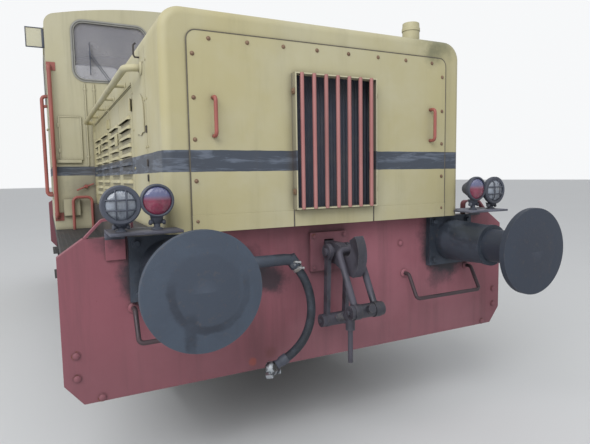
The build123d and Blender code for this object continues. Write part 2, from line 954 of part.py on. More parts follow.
def louvre_body(radius):
    """A quarter of a round-ended bar: the part above its axis and outside its upright plane."""
    with BuildPart() as piece:
        with BuildSketch(lengthwise(hood_half_width - louvre_inset)):
            SlotOverall(louvre_length - 2 * (louvre_radius - radius), 2 * radius)
            with Locations((0, -radius)):
                Rectangle(louvre_length, 2 * radius, mode=Mode.SUBTRACT)
        revolve(axis=louvre_axis, revolution_arc=90)
    return piece.part


louvre_outside = louvre_body(louvre_radius)
louvre_inside = louvre_body(louvre_radius - louvre_wall)
hinge_x = hood_half_width + hinge_offset
hinge_heights = (door_bottom + hinge_inset, door_top - hinge_inset)


def hinge(edge, inward):
    """One barrel on its strap, which bends down to the leaf's face."""
    with BuildPart() as piece:
        with BuildSketch():
            with BuildLine():
                Polyline(
                    (hinge_x, edge),
                    (hood_half_width + strap_thickness / 2, edge + inward * strap_bend),
                    (hood_half_width + strap_thickness / 2, edge + inward * strap_reach),
                )
            trace(line_width=strap_thickness)
            with Locations((hinge_x, edge)):
                Circle(hinge_radius)
        extrude(amount=hinge_length)
    return piece.part


def latch(place):
    """A short upright handle on a stem."""
    stem = rod((hood_half_width - door_sheet / 2, place, latch_z),
               (hood_half_width + latch_proud, place, latch_z), latch_radius)
    bar = rod((hood_half_width + latch_proud, place, latch_z - latch_length / 2),
              (hood_half_width + latch_proud, place, latch_z + latch_length / 2), latch_radius)
    with BuildPart() as piece:
        add(stem)
        add(bar)
    return piece.part


# Leaf table: its two ends along Y, the edge it hinges at, and the way from that edge into the leaf
leaves = []
for bay_start, bay_end in bays:
    middle = (bay_start + bay_end) / 2
    leaves.append((bay_start + door_gap, middle - door_gap / 2, bay_start, 1))
    leaves.append((middle + door_gap / 2, bay_end - door_gap, bay_end, -1))
leaf_low = door_bottom + door_gap
leaf_high = door_top - door_gap
for side_name, side in (("left", -1), ("right", 1)):
    for number, (leaf_start, leaf_end, edge, inward) in enumerate(leaves, start=1):
        leaf_middle = (leaf_start + leaf_end) / 2
        leaf_hinge = hinge(edge, inward)
        free_edge = leaf_end if inward > 0 else leaf_start
        leaf_latch = latch(free_edge - inward * latch_inset)
        row_places = [(0, leaf_middle, louvre_first - row * louvre_pitch) for row in range(louvre_rows)]
        with BuildPart() as hood_door:
            with BuildSketch(lengthwise(hood_half_width)):
                with Locations((leaf_middle, (leaf_low + leaf_high) / 2)):
                    Rectangle(leaf_end - leaf_start, leaf_high - leaf_low)
            extrude(amount=-door_rim)
            with BuildSketch(lengthwise(hood_half_width - door_sheet)):
                with Locations((leaf_middle, (leaf_low + leaf_high) / 2)):
                    Rectangle(leaf_end - leaf_start - 2 * door_rim, leaf_high - leaf_low - 2 * door_rim)
            extrude(amount=-door_rim, mode=Mode.SUBTRACT)
            with Locations(*row_places):
                add(louvre_outside)
            with Locations(*row_places):
                add(louvre_inside, mode=Mode.SUBTRACT)
            with Locations(*[(0, 0, z - hinge_length / 2) for z in hinge_heights]):
                add(leaf_hinge)
            add(leaf_latch)
            if side < 0:
                mirror(about=Plane.YZ, mode=Mode.REPLACE)
        save(hood_door.part, f"hood_door_{side_name}_{number}")

# Walkways beside the hood and under the cab's sides, with valances and brackets
step_middle = cab_face + cab_door_start + cab_door_width / 2
step_start = step_middle - step_width / 2
step_end = step_middle + step_width / 2
tank_end = step_start - tank_step_gap
tank_start = tank_end - tank_length
bracket_places = (
    -half_frame + end_bay,
    axle_places[0] - spring_half_length,
    axle_places[0] + spring_half_length + bracket_gap,
    tank_end + bracket_gap,
    step_end + bracket_gap / 2,
    axle_places[1] + spring_half_length,
    half_frame - end_bay,
)
with BuildPart() as walkways:
    with BuildSketch(Plane.XY.offset(walkway_top)):
        with Locations(((plate_outer + cab_half_width) / 2, 0)):
            Rectangle(cab_half_width - plate_outer, 2 * half_frame)
    extrude(amount=-walkway_thickness)
    with BuildSketch(Plane.XY.offset(walkway_top)):
        with Locations((cab_half_width - walkway_thickness / 2, 0)):
            Rectangle(walkway_thickness, 2 * half_frame)
    extrude(amount=-valance_depth)
    for bracket_y in bracket_places:
        with BuildSketch(crosswise(bracket_y)):
            with BuildLine():
                Polyline(
                    (plate_outer, walkway_top - walkway_thickness),
                    (cab_half_width - walkway_thickness, walkway_top - walkway_thickness),
                    (cab_half_width - walkway_thickness, walkway_top - valance_depth),
                    (plate_outer, walkway_top - bracket_depth),
                    close=True,
                )
            make_face()
        extrude(amount=bracket_thickness)
    mirror(about=Plane.YZ)
save(walkways.part, "walkways")

# Cab: two end walls with the full arched outline, two side walls and the roof between them
window_width = window_outer - window_inner
window_height = window_top - window_bottom
window_pitch = window_inner + window_outer


def cab_outline(inset):
    """The cab's cross section: upright sides, rounded shoulders and an arched top."""
    with BuildSketch() as outline:
        with Locations((0, (cab_bottom + roof_crown) / 2)):
            Rectangle(2 * (cab_half_width - inset), roof_crown - cab_bottom)
        with Locations((0, roof_crown - roof_radius)):
            Circle(roof_radius - inset, mode=Mode.INTERSECT)
        fillet(outline.vertices().group_by(Axis.Y)[-1], roof_corner - inset)
    return outline.sketch


def end_window(grow):
    """The two front or rear window outlines, grown by some width all round."""
    with BuildSketch() as outline:
        with Locations((0, (window_bottom + window_top) / 2)):
            with GridLocations(window_pitch, 0, 2, 1):
                RectangleRounded(window_width + 2 * grow, window_height + 2 * grow, window_radius + grow)
    return outline.sketch


side_start = cab_face + cab_wall
side_end = cab_back - cab_wall
door_start = cab_face + cab_door_start
door_end = door_start + cab_door_width
door_middle = (door_start + door_end) / 2
pane_middle = cab_face + side_window_start + side_window_length / 2
side_window_height = side_window_top - side_window_bottom


def side_window(grow):
    """The side window's outline, grown by some width all round."""
    with BuildSketch() as outline:
        with Locations((pane_middle, (side_window_bottom + side_window_top) / 2)):
            RectangleRounded(side_window_length + 2 * grow, side_window_height + 2 * grow,
                             window_radius + grow)
    return outline.sketch


outer_outline = cab_outline(0)
inner_outline = cab_outline(cab_wall)
end_openings = end_window(0)
side_opening = side_window(0)
for wall_name, wall_y in (("cab_front_wall", cab_face), ("cab_rear_wall", side_end)):
    with BuildPart() as end_wall:
        with BuildSketch(crosswise(wall_y + cab_wall)):
            add(outer_outline)
            add(end_openings, mode=Mode.SUBTRACT)
            with Locations((0, (cab_bottom + deck_top) / 2)):
                Rectangle(2 * plate_outer, deck_top - cab_bottom, mode=Mode.SUBTRACT)
        extrude(amount=cab_wall)
    save(end_wall.part, wall_name)

with BuildPart() as cab_sides:
    with BuildSketch(lengthwise(cab_half_width - cab_wall)):
        with Locations(((side_start + side_end) / 2, (cab_bottom + roof_eave) / 2)):
            Rectangle(side_end - side_start, roof_eave - cab_bottom)
        with Locations((door_middle, (floor_top + cab_door_top) / 2)):
            Rectangle(cab_door_width, cab_door_top - floor_top, mode=Mode.SUBTRACT)
        add(side_opening, mode=Mode.SUBTRACT)
    extrude(amount=cab_wall)
    mirror(about=Plane.YZ)
save(cab_sides.part, "cab_sides")

with BuildPart() as cab_roof:
    with BuildSketch(crosswise(side_end)):
        add(outer_outline)
        add(inner_outline, mode=Mode.SUBTRACT)
        with Locations((0, (roof_eave + roof_crown) / 2)):
            Rectangle(2 * cab_half_width, roof_crown - roof_eave, mode=Mode.INTERSECT)
    extrude(amount=side_end - side_start)
save(cab_roof.part, "cab_roof")

save(block(-cab_half_width + cab_wall, cab_half_width - cab_wall, side_start, side_end,
           deck_top, floor_top), "cab_floor")

# Cab doors, hinged at their rear edge and opening inwards, with a pane and a handle each
pane_width = cab_door_width - 2 * door_pane_margin
pane_bottom = side_window_bottom
pane_top = cab_door_top - door_pane_head
door_outer_x = cab_half_width - cab_wall + cab_door_thickness
handle_start = door_start + door_pane_margin
handle = pipe([
    (door_outer_x, handle_start, door_handle_z),
    (door_outer_x + door_handle_proud, handle_start, door_handle_z),
    (door_outer_x + door_handle_proud, handle_start + door_handle_length, door_handle_z),
], door_handle_radius, door_handle_radius + 1)
with BuildSketch() as door_pane:
    with Locations((door_middle, (pane_bottom + pane_top) / 2)):
        RectangleRounded(pane_width, pane_top - pane_bottom, door_pane_radius)
for side_name, side in (("left", -1), ("right", 1)):
    with BuildPart() as cab_door:
        with BuildSketch(lengthwise(cab_half_width - cab_wall)):
            with Locations((door_middle, (floor_top + cab_door_top) / 2)):
                Rectangle(cab_door_width - 2 * cab_door_gap, cab_door_top - floor_top - 2 * cab_door_gap)
            add(door_pane.sketch, mode=Mode.SUBTRACT)
        extrude(amount=cab_door_thickness)
        add(handle)
        if side < 0:
            mirror(about=Plane.YZ, mode=Mode.REPLACE)
    save(cab_door.part, f"cab_door_{side_name}")
    with BuildPart() as door_glass:
        with BuildSketch(lengthwise(cab_half_width - cab_wall + cab_door_thickness / 2)):
            add(door_pane.sketch)
        extrude(amount=glass_thickness)
        if side < 0:
            mirror(about=Plane.YZ, mode=Mode.REPLACE)
    save(door_glass.part, f"door_glass_{side_name}")

# Fixed window glass in the middle of the walls, and the rubber seals round it outside
with BuildPart() as cab_glass:
    for pane_y in (cab_face + cab_wall / 2, cab_back - cab_wall / 2):
        with BuildSketch(crosswise(pane_y)):
            add(end_openings)
        extrude(amount=glass_thickness)
    for pane_x in (-cab_half_width + cab_wall / 2, cab_half_width - cab_wall / 2):
        with BuildSketch(lengthwise(pane_x)):
            add(side_opening)
        extrude(amount=glass_thickness)
save(cab_glass.part, "cab_glass")

with BuildPart() as window_seals:
    for seal_y, outward in ((cab_face, 1), (cab_back, -1)):
        with BuildSketch(crosswise(seal_y)):
            add(end_window(seal_flange))
            add(end_window(-seal_lip), mode=Mode.SUBTRACT)
        extrude(amount=outward * seal_proud)
    for side in (-1, 1):
        with BuildSketch(lengthwise(side * cab_half_width)):
            add(side_window(seal_flange))
            add(side_window(-seal_lip), mode=Mode.SUBTRACT)
        extrude(amount=side * seal_proud)
save(window_seals.part, "window_seals")

# Fittings on the cab's front beside the hood: a cover, the tray under it and a small locker
cab_fitting_parts = [
    block(-cover_outer, -cover_inner, cab_face - cover_proud, cab_face, cover_bottom, cover_top),
    block(-tray_outer, -tray_inner, cab_face - tray_proud, cab_face, cover_bottom - tray_drop, cover_bottom),
    block(-locker_outer, -locker_inner, cab_face - locker_proud, cab_face, locker_bottom, locker_top),
]
with BuildPart() as cab_fittings:
    for piece in cab_fitting_parts:
        add(piece)
save(cab_fittings.part, "cab_fittings")

# Driver's desk with a knee space and a sloping instrument board
with BuildPart() as driver_desk:
    with BuildSketch(lengthwise(-desk_half_width)):
        with BuildLine():
            Polyline(*[(side_start + depth, floor_top + height) for depth, height in desk_outline],
                     close=True)
        make_face()
    extrude(amount=2 * desk_half_width)
save(driver_desk.part, "driver_desk")

# Driver's seat: foot, post, pan and back shell, with two cushions
seat_front = cab_face + seat_back_from_face
seat_rear = seat_front + seat_depth
seat_top = floor_top + seat_height
seat_centre = (seat_x, (seat_front + seat_rear) / 2)
with BuildPart() as driver_seat:
    for radius, height in ((seat_foot_radius, seat_foot_height), (seat_post_radius, seat_height)):
        with BuildSketch(Plane.XY.offset(floor_top)):
            with Locations(seat_centre):
                Circle(radius)
        extrude(amount=height)
    with BuildSketch(Plane.XY.offset(seat_top)):
        with Locations(seat_centre):
            RectangleRounded(seat_width, seat_depth, cushion_radius)
    extrude(amount=-seat_pan)
    with BuildSketch(crosswise(seat_rear)):
        with Locations((seat_x, seat_top - seat_pan + (seat_back_height + seat_pan) / 2)):
            RectangleRounded(seat_width, seat_back_height + seat_pan, cushion_radius)
    extrude(amount=seat_back_thickness)
save(driver_seat.part, "driver_seat")

pad_width = seat_width - 2 * cushion_inset
back_face = seat_rear - seat_back_thickness
with BuildPart() as seat_pad:
    with BuildSketch(Plane.XY.offset(seat_top)):
        with Locations((seat_x, (seat_front + back_face) / 2)):
            Rectangle(pad_width, back_face - seat_front - cushion_inset)
    extrude(amount=cushion_thickness)
    fillet(seat_pad.edges().filter_by(Axis.Z), cushion_radius)
with BuildPart() as back_pad:
    with BuildSketch(crosswise(back_face)):
        with Locations((seat_x, seat_top + cushion_thickness + (seat_back_height - cushion_thickness) / 2)):
            Rectangle(pad_width, seat_back_height - cushion_thickness - 2 * cushion_inset)
    extrude(amount=cushion_thickness)
    fillet(back_pad.edges().filter_by(Axis.Y), cushion_radius)
with BuildPart() as seat_cushions:
    add(seat_pad.part)
    add(back_pad.part)
save(seat_cushions.part, "seat_cushions")

# Hood handrails down both sides
hood_rail_x = hood_half_width + hood_rail_reach
rail_start = front + hood_rail_start
rail_end = cab_face - hood_rail_rear_gap
stay_pitch = (rail_end - rail_start) / (stay_count + 1)
hood_pipe = pipe([
    (hood_half_width, rail_start, hood_rail_z),
    (hood_rail_x, rail_start, hood_rail_z),
    (hood_rail_x, rail_end, hood_rail_z),
    (hood_half_width, rail_end, hood_rail_z),
], rail_pipe_radius, hood_rail_bend)
stays = [
    rod((hood_half_width, rail_start + (index + 1) * stay_pitch, hood_rail_z),
        (hood_rail_x, rail_start + (index + 1) * stay_pitch, hood_rail_z), stay_radius)
    for index in range(stay_count)
]
with BuildPart() as hood_rails:
    add(hood_pipe)
    for stay in stays:
        add(stay)
    mirror(about=Plane.YZ)
save(hood_rails.part, "hood_rails")

# Red rails: grab handles on the front panel, upright rails beside the cab doors and at the cab's front
# corners, and a bent pipe in front of the cab on the left
panel_face = hood_front - panel_thickness
grab = pipe([
    (grab_x, panel_face, grab_bottom),
    (grab_x, panel_face - grab_proud, grab_bottom),
    (grab_x, panel_face - grab_proud, grab_top),
    (grab_x, panel_face, grab_top),
], grab_radius, grab_bend)
cab_rail_x = cab_half_width + cab_rail_reach
cab_rails = [
    pipe([
        (cab_half_width, y, cab_rail_bottom),
        (cab_rail_x, y, cab_rail_bottom),
        (cab_rail_x, y, cab_rail_top),
        (cab_half_width, y, cab_rail_top),
    ], cab_rail_radius, cab_rail_bend)
    for y in (door_start - cab_rail_offset, door_end + cab_rail_offset)
]
corner_x = cab_half_width - corner_rail_inset
plate_face = cab_face - corner_plate_thickness
corner_rail = pipe([
    (corner_x, plate_face, corner_rail_bottom),
    (corner_x, cab_face - corner_rail_proud, corner_rail_bottom),
    (corner_x, cab_face - corner_rail_proud, corner_rail_top),
    (corner_x, plate_face, corner_rail_top),
], corner_rail_radius, corner_rail_bend)
corner_plates = [
    block(cab_half_width - corner_plate_size, cab_half_width, plate_face, cab_face,
          z - corner_plate_size / 2, z + corner_plate_size / 2)
    for z in (corner_rail_bottom, corner_rail_top)
]
hoop_y = cab_face - pipe_hoop_ahead
pipe_hoop = pipe([
    (-pipe_hoop_outer, hoop_y, walkway_top),
    (-pipe_hoop_outer, hoop_y, pipe_hoop_top),
    (-plate_outer - pipe_hoop_gap, hoop_y, pipe_hoop_top),
    (-plate_outer - pipe_hoop_gap, hoop_y, walkway_top),
], pipe_hoop_radius, pipe_hoop_bend)
with BuildPart() as grab_rails:
    add(grab)
    for piece in cab_rails + [corner_rail] + corner_plates:
        add(piece)
    mirror(about=Plane.YZ)
    add(pipe_hoop)
save(grab_rails.part, "grab_rails")

# Shunter's rails under the buffers
buffer_rail = pipe([
    (buffer_x - buffer_rail_inside, front, buffer_rail_foot),
    (buffer_x - buffer_rail_inside, front - buffer_rail_stub, buffer_rail_foot),
    (buffer_x - buffer_rail_inside, front - buffer_rail_reach, buffer_rail_low),
    (buffer_x + buffer_rail_outside, front - buffer_rail_reach, buffer_rail_low),
    (buffer_x + buffer_rail_outside, front - buffer_rail_stub, buffer_rail_foot),
    (buffer_x + buffer_rail_outside, front, buffer_rail_foot),
], buffer_rail_radius, buffer_rail_bend)
with BuildPart() as shunter_rails:
    add(buffer_rail)
    mirror(about=Plane.YZ)
    mirror(about=Plane.XZ)
save(shunter_rails.part, "shunter_rails")

# Bent flat bars on the end beams' top corners
hoop_inner_x = beam_half_width - hoop_inner_inset
hoop_outer_x = beam_half_width - hoop_foot_inset
with BuildPart() as corner_hoops:
    with BuildSketch(crosswise(front + hoop_width)):
        with BuildLine():
            FilletPolyline(
                (hoop_outer_x, beam_top),
                (beam_half_width - hoop_shoulder_inset, beam_top + hoop_height - hoop_slope),
                (hoop_inner_x, beam_top + hoop_height),
                (hoop_inner_x, beam_top),
                radius=hoop_bend,
            )
        trace(line_width=hoop_thickness)
        with Locations(((hoop_inner_x + hoop_outer_x) / 2, beam_top + hoop_height)):
            Rectangle(2 * (hoop_outer_x - hoop_inner_x), 2 * hoop_height, mode=Mode.INTERSECT)
    extrude(amount=hoop_width)
    mirror(about=Plane.YZ)
    mirror(about=Plane.XZ)
save(corner_hoops.part, "corner_hoops")

# Lamp shelves on a leg from the beam's face, cut back round the hood's corner
shelf_inner_end = hood_overhang + shelf_clearance
shelf_neck_x = hood_half_width + shelf_side_clearance
with BuildPart() as lamp_shelves:
    with BuildSketch(Plane.XY.offset(shelf_top)):
        with BuildLine():
            Polyline(
                (shelf_inner, front - shelf_reach),
                (shelf_outer, front - shelf_reach),
                (shelf_outer, front),
                (shelf_neck_x, front),
                (shelf_neck_x, front - shelf_inner_end),
                (shelf_inner, front - shelf_inner_end),
                close=True,
            )
        make_face()
    extrude(amount=-shelf_thickness)
    with BuildSketch(crosswise(front)):
        with Locations((shelf_outer - shelf_leg_width / 2, shelf_top - shelf_leg_height / 2)):
            Rectangle(shelf_leg_width, shelf_leg_height)
    extrude(amount=shelf_thickness)
    mirror(about=Plane.YZ)
    mirror(about=Plane.XZ)
save(lamp_shelves.part, "lamp_shelves")

lens_y = hood_front - lamp_depth - lamp_clearance


def lamp(x, z, radius):
    """A round lamp: rim and lens at the front, a cup behind, on a short post from the shelf."""
    with BuildPart() as piece:
        with BuildSketch(Plane(origin=(x, 0, z), x_dir=(1, 0, 0), z_dir=(0, 0, 1))):
            with BuildLine():
                Polyline(
                    (0, lens_y + lamp_depth),
                    (radius * lamp_back_share, lens_y + lamp_depth),
                    (radius - lamp_rim, lens_y + lamp_rim_depth + lamp_rim),
                    (radius, lens_y + lamp_rim_depth),
                    (radius, lens_y),
                    (radius - lamp_rim, lens_y),
                    (radius - lamp_rim, lens_y + lamp_lens_recess),
                    (0, lens_y + lamp_lens_recess - lamp_lens_crown),
                    close=True,
                )
            make_face()
        revolve(axis=Axis((x, 0, z), (0, 1, 0)))
        with BuildSketch(Plane.XY.offset(shelf_top)):
            with Locations((x, lens_y + lamp_rim_depth + lamp_rim)):
                Circle(lamp_post_radius)
        extrude(amount=z - radius + lamp_post_sink - shelf_top)
    return piece.part


# Lamp table: node, place across, height, radius
for lamp_name, lamp_x, lamp_z, lamp_radius in (
    ("white_lamps", white_lamp_x, white_lamp_z, white_lamp_radius),
    ("red_lamps", red_lamp_x, red_lamp_z, red_lamp_radius),
):
    one_lamp = lamp(lamp_x, lamp_z, lamp_radius)
    with BuildPart() as lamps:
        add(one_lamp)
        mirror(about=Plane.YZ)
        mirror(about=Plane.XZ)
    save(lamps.part, lamp_name)

# Wind deflectors beside the cab's front windows
deflector_y = cab_face + deflector_setback
deflector = block(cab_half_width, cab_half_width + deflector_reach,
                  deflector_y, deflector_y + deflector_thickness,
                  deflector_bottom, deflector_bottom + deflector_height)
with BuildPart() as wind_deflectors:
    add(deflector)
    mirror(about=Plane.YZ)
save(wind_deflectors.part, "wind_deflectors")

# Steps below the cab doors
step_outer = cab_half_width + step_reach
step_inner = step_outer - step_depth
step_parts = [
    block(step_inner, step_outer, step_start, step_end, level - step_thickness, level)
    for level in step_levels
]
for end_y in (step_start, step_end - step_thickness):
    step_parts.append(block(step_inner, cab_half_width - walkway_thickness,
                            end_y, end_y + step_thickness,
                            step_levels[0] - step_side_drop, walkway_top - walkway_thickness))
with BuildPart() as cab_steps:
    for piece in step_parts:
        add(piece)
    mirror(about=Plane.YZ)
save(cab_steps.part, "cab_steps")

# Brake blocks on hangers inside the wheelbase, joined by cross shafts
brake_parts = []
for axle_y in axle_places:
    inward = -1 if axle_y > 0 else 1
    inner = tread_radius + block_gap
    outer = inner + block_thickness
    low, high = radians(-block_spread), radians(block_spread)
    with BuildPart() as brake_block:
        with BuildSketch(lengthwise(block_inner)):
            with BuildLine():
                ends = [
                    (axle_y + inward * radius * cos(angle), axle_height + radius * sin(angle))
                    for radius, angle in ((inner, low), (inner, high), (outer, high), (outer, low))
                ]
                ThreePointArc(ends[0], (axle_y + inward * inner, axle_height), ends[1])
                Line(ends[1], ends[2])
                ThreePointArc(ends[2], (axle_y + inward * outer, axle_height), ends[3])
                Line(ends[3], ends[0])
            make_face()
        extrude(amount=block_outer - block_inner)
    bar_y = axle_y + inward * (outer - block_overlap)
    bar_x = block_inner + hanger_bar_inset
    shaft_y = bar_y + inward * hanger_bar / 3
    shaft_z = axle_height - brake_shaft_drop
    brake_parts.append(brake_block.part)
    brake_parts.append(block(bar_x, bar_x + hanger_bar, bar_y, bar_y + inward * hanger_bar,
                             axle_height - hanger_bar_drop, plate_top))
    brake_parts.append(rod((0, shaft_y, shaft_z), (bar_x + hanger_bar / 3, shaft_y, shaft_z),
                           brake_shaft_radius))
with BuildPart() as brake_gear:
    for piece in brake_parts:
        add(piece)
    mirror(about=Plane.YZ)
save(brake_gear.part, "brake_gear")

# Fuel tank on the left, an air reservoir on the right, both hung from the side plates
tank_middle = (tank_start + tank_end) / 2
with BuildPart() as fuel_tank:
    with BuildSketch(crosswise(tank_end)):
        with Locations((-(plate_outer + tank_outer) / 2, (tank_bottom + tank_top) / 2)):
            RectangleRounded(tank_outer - plate_outer, tank_top - tank_bottom, tank_radius)
    extrude(amount=tank_length)
save(fuel_tank.part, "fuel_tank")

reservoir_x = plate_outer + reservoir_gap + reservoir_radius
with BuildPart() as air_reservoir:
    with BuildSketch(crosswise(tank_middle + reservoir_length / 2)):
        with Locations((reservoir_x, reservoir_z)):
            Circle(reservoir_radius)
    extrude(amount=reservoir_length)
    fillet(air_reservoir.edges().filter_by(GeomType.CIRCLE), reservoir_end_radius)
    for strap_side in (-1, 1):
        strap_y = tank_middle + strap_side * reservoir_strap_spread / 2
        with BuildSketch(crosswise(strap_y + strap_width / 2)):
            with Locations((plate_outer + reservoir_gap, reservoir_z)):
                Rectangle(2 * reservoir_gap, strap_foot_height)
            with Locations((reservoir_x, reservoir_z)):
                Circle(reservoir_radius + strap_wrap)
        extrude(amount=strap_width)
save(air_reservoir.part, "air_reservoir")

# Sandboxes behind the end beams, with a pipe to each wheel
sand_y = front + beam_thickness + sandbox_gap
sand_middle = sand_y + sandbox_length / 2
sand_x = plate_outer + sand_pipe_inset
sand_box = block(plate_outer, plate_outer + sandbox_width, sand_y, sand_y + sandbox_length,
                 sandbox_bottom, walkway_top - bracket_depth)
sand_pipe = pipe([
    (sand_x, sand_middle, sandbox_bottom + sand_pipe_radius),
    (sand_x, sand_middle, sandbox_bottom - sand_pipe_drop),
    (half_back + sand_pipe_tread_offset, axle_places[0] - tread_radius - sand_pipe_tip_gap,
     sand_pipe_tip_z),
], sand_pipe_radius, sand_pipe_bend)
with BuildPart() as sandboxes:
    add(sand_box)
    add(sand_pipe)
    mirror(about=Plane.YZ)
    mirror(about=Plane.XZ)
save(sandboxes.part, "sandboxes")

# End cocks of the brake pipe, the front hose and its coupling head
hose_points = [Vector(x, front + y, rail_top + z) for x, y, z in hose_route]
first_run = (hose_points[1] - hose_points[0]).normalized()
last_run = (hose_points[-1] - hose_points[-2]).normalized()
cock_end = hose_points[0]
cock_start = cock_end - first_run * ferrule_length
cock_pipe = pipe([
    (cock_x, front, cock_height),
    (cock_x, cock_start.Y, cock_height),
    (cock_start.X - cock_run, cock_start.Y, cock_height),
    tuple(cock_start + first_run * ferrule_sink),
], cock_radius, cock_bend)
cock_ferrule = rod(tuple(cock_start), tuple(cock_end), ferrule_radius)
with BuildPart() as brake_cocks:
    add(cock_pipe)
    add(cock_ferrule)
    mirror(about=Plane.XZ)
save(brake_cocks.part, "brake_cocks")

hose_radii = []
for before, corner, after in zip(hose_points, hose_points[1:], hose_points[2:]):
    turn = radians((corner - before).get_angle(after - corner))
    shorter = min((corner - before).length, (after - corner).length)
    hose_radii.append(hose_bend_share * shorter / tan(turn / 2))
with BuildPart() as brake_hose:
    with BuildLine():
        FilletPolyline(*hose_points, radius=hose_radii)
    with BuildSketch(Plane(origin=hose_points[0], z_dir=first_run)):
        Circle(hose_radius)
    sweep()
save(brake_hose.part, "brake_hose")

head_start = hose_points[-1]
head_centre = head_start + last_run * head_offset
with BuildPart() as hose_coupling:
    with BuildSketch(Plane(origin=head_start, z_dir=last_run)):
        Circle(head_neck_radius)
    extrude(amount=head_neck_length)
    with BuildSketch(crosswise(head_centre.Y + head_width / 2, head_centre.Z)):
        with Locations((head_centre.X, 0)):
            Circle(head_ring_radius)
            Circle(head_bore_radius, mode=Mode.SUBTRACT)
    extrude(amount=head_width)
save(hose_coupling.part, "hose_coupling")
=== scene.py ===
"""Dresses the diesel shunter: weathered paint, lamps, fastenings, brake hose, cab fittings and stage."""

import math

import bpy
from mathutils import Matrix, Vector


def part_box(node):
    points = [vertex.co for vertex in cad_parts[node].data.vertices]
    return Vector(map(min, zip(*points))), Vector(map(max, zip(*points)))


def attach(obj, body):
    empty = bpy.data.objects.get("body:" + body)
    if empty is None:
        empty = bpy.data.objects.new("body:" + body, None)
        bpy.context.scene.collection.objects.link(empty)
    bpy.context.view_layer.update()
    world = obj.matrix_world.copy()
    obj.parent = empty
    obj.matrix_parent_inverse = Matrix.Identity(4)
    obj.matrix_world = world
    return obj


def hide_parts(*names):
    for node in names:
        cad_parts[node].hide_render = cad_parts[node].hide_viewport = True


bl_info = {
    "name": "Diesel Shunter",
    "version": (1, 0, 0),
    "blender": (4, 5, 0),
    "location": "View3D > Sidebar > Shunter",
    "description": "Dresses a two-axle diesel shunter with worn paint, fittings and a stage",
    "category": "Object",
}

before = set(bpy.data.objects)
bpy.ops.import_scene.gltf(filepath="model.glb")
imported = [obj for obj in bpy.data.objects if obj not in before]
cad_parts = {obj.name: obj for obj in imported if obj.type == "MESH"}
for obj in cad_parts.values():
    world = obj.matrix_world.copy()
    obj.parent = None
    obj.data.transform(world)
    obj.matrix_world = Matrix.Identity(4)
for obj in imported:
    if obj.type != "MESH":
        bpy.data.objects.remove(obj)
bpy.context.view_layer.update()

BODY = "locomotive"
RAIL = 0.028  # height of the rails' top over the floor
SIDES = (-1, 1)
FORWARD = (0, -1, 0)
HERE = Matrix.Identity(4)
MIRROR = Matrix.Diagonal((-1, 1, 1, 1))
FINISHES = {}


def near(node):
    """The lowest corner of a frame node."""
    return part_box(node)[0]


def far(node):
    """The highest corner of a frame node."""
    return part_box(node)[1]


HOOD_SIDE = 0.885
BEAM_FACE = near("end_beams").y + 0.024
HOOD_FACE = near("front_panel").y
CAB_FACE = near("cab_roof").y - 0.045
CAB_BACK = far("cab_roof").y + 0.045
CAB_SIDE = far("cab_sides").x
BUFFER_X, BUFFER_HIGH = 0.875, 1.05
AXLES = (-1.45, 1.45)
AXLE_Z = RAIL + 0.425


# Settings shown in the sidebar


class ShunterPaint(bpy.types.PropertyGroup):
    """Colours of the shunter's finishes."""

    cream: bpy.props.FloatVectorProperty(
        name="Cream", description="Body paint", subtype="COLOR", size=3, default=(0.45, 0.405, 0.225))
    cream_faded: bpy.props.FloatVectorProperty(
        name="Faded cream", description="Body paint where the sun bleached it", subtype="COLOR", size=3,
        default=(0.49, 0.46, 0.31))
    beam_red: bpy.props.FloatVectorProperty(
        name="Beam red", description="End beam paint", subtype="COLOR", size=3, default=(0.255, 0.082, 0.106))
    beam_pink: bpy.props.FloatVectorProperty(
        name="Faded red", description="End beam paint where it went chalky", subtype="COLOR", size=3,
        default=(0.315, 0.118, 0.148))
    rail_red: bpy.props.FloatVectorProperty(
        name="Rail red", description="Handrail and grille bar paint", subtype="COLOR", size=3,
        default=(0.32, 0.094, 0.078))
    band: bpy.props.FloatVectorProperty(
        name="Band", description="Dark band round the body", subtype="COLOR", size=3,
        default=(0.050, 0.062, 0.085))
    black: bpy.props.FloatVectorProperty(
        name="Frame black", description="Frame and running gear", subtype="COLOR", size=3,
        default=(0.030, 0.030, 0.032))
    grease: bpy.props.FloatVectorProperty(
        name="Greasy steel", description="Buffers and couplings", subtype="COLOR", size=3,
        default=(0.050, 0.065, 0.090))
    rust: bpy.props.FloatVectorProperty(
        name="Rust", description="Rust on chips and bolts", subtype="COLOR", size=3,
        default=(0.20, 0.065, 0.028))
    dust: bpy.props.FloatVectorProperty(
        name="Dust", description="Brake dust and dry dirt", subtype="COLOR", size=3,
        default=(0.16, 0.12, 0.09))


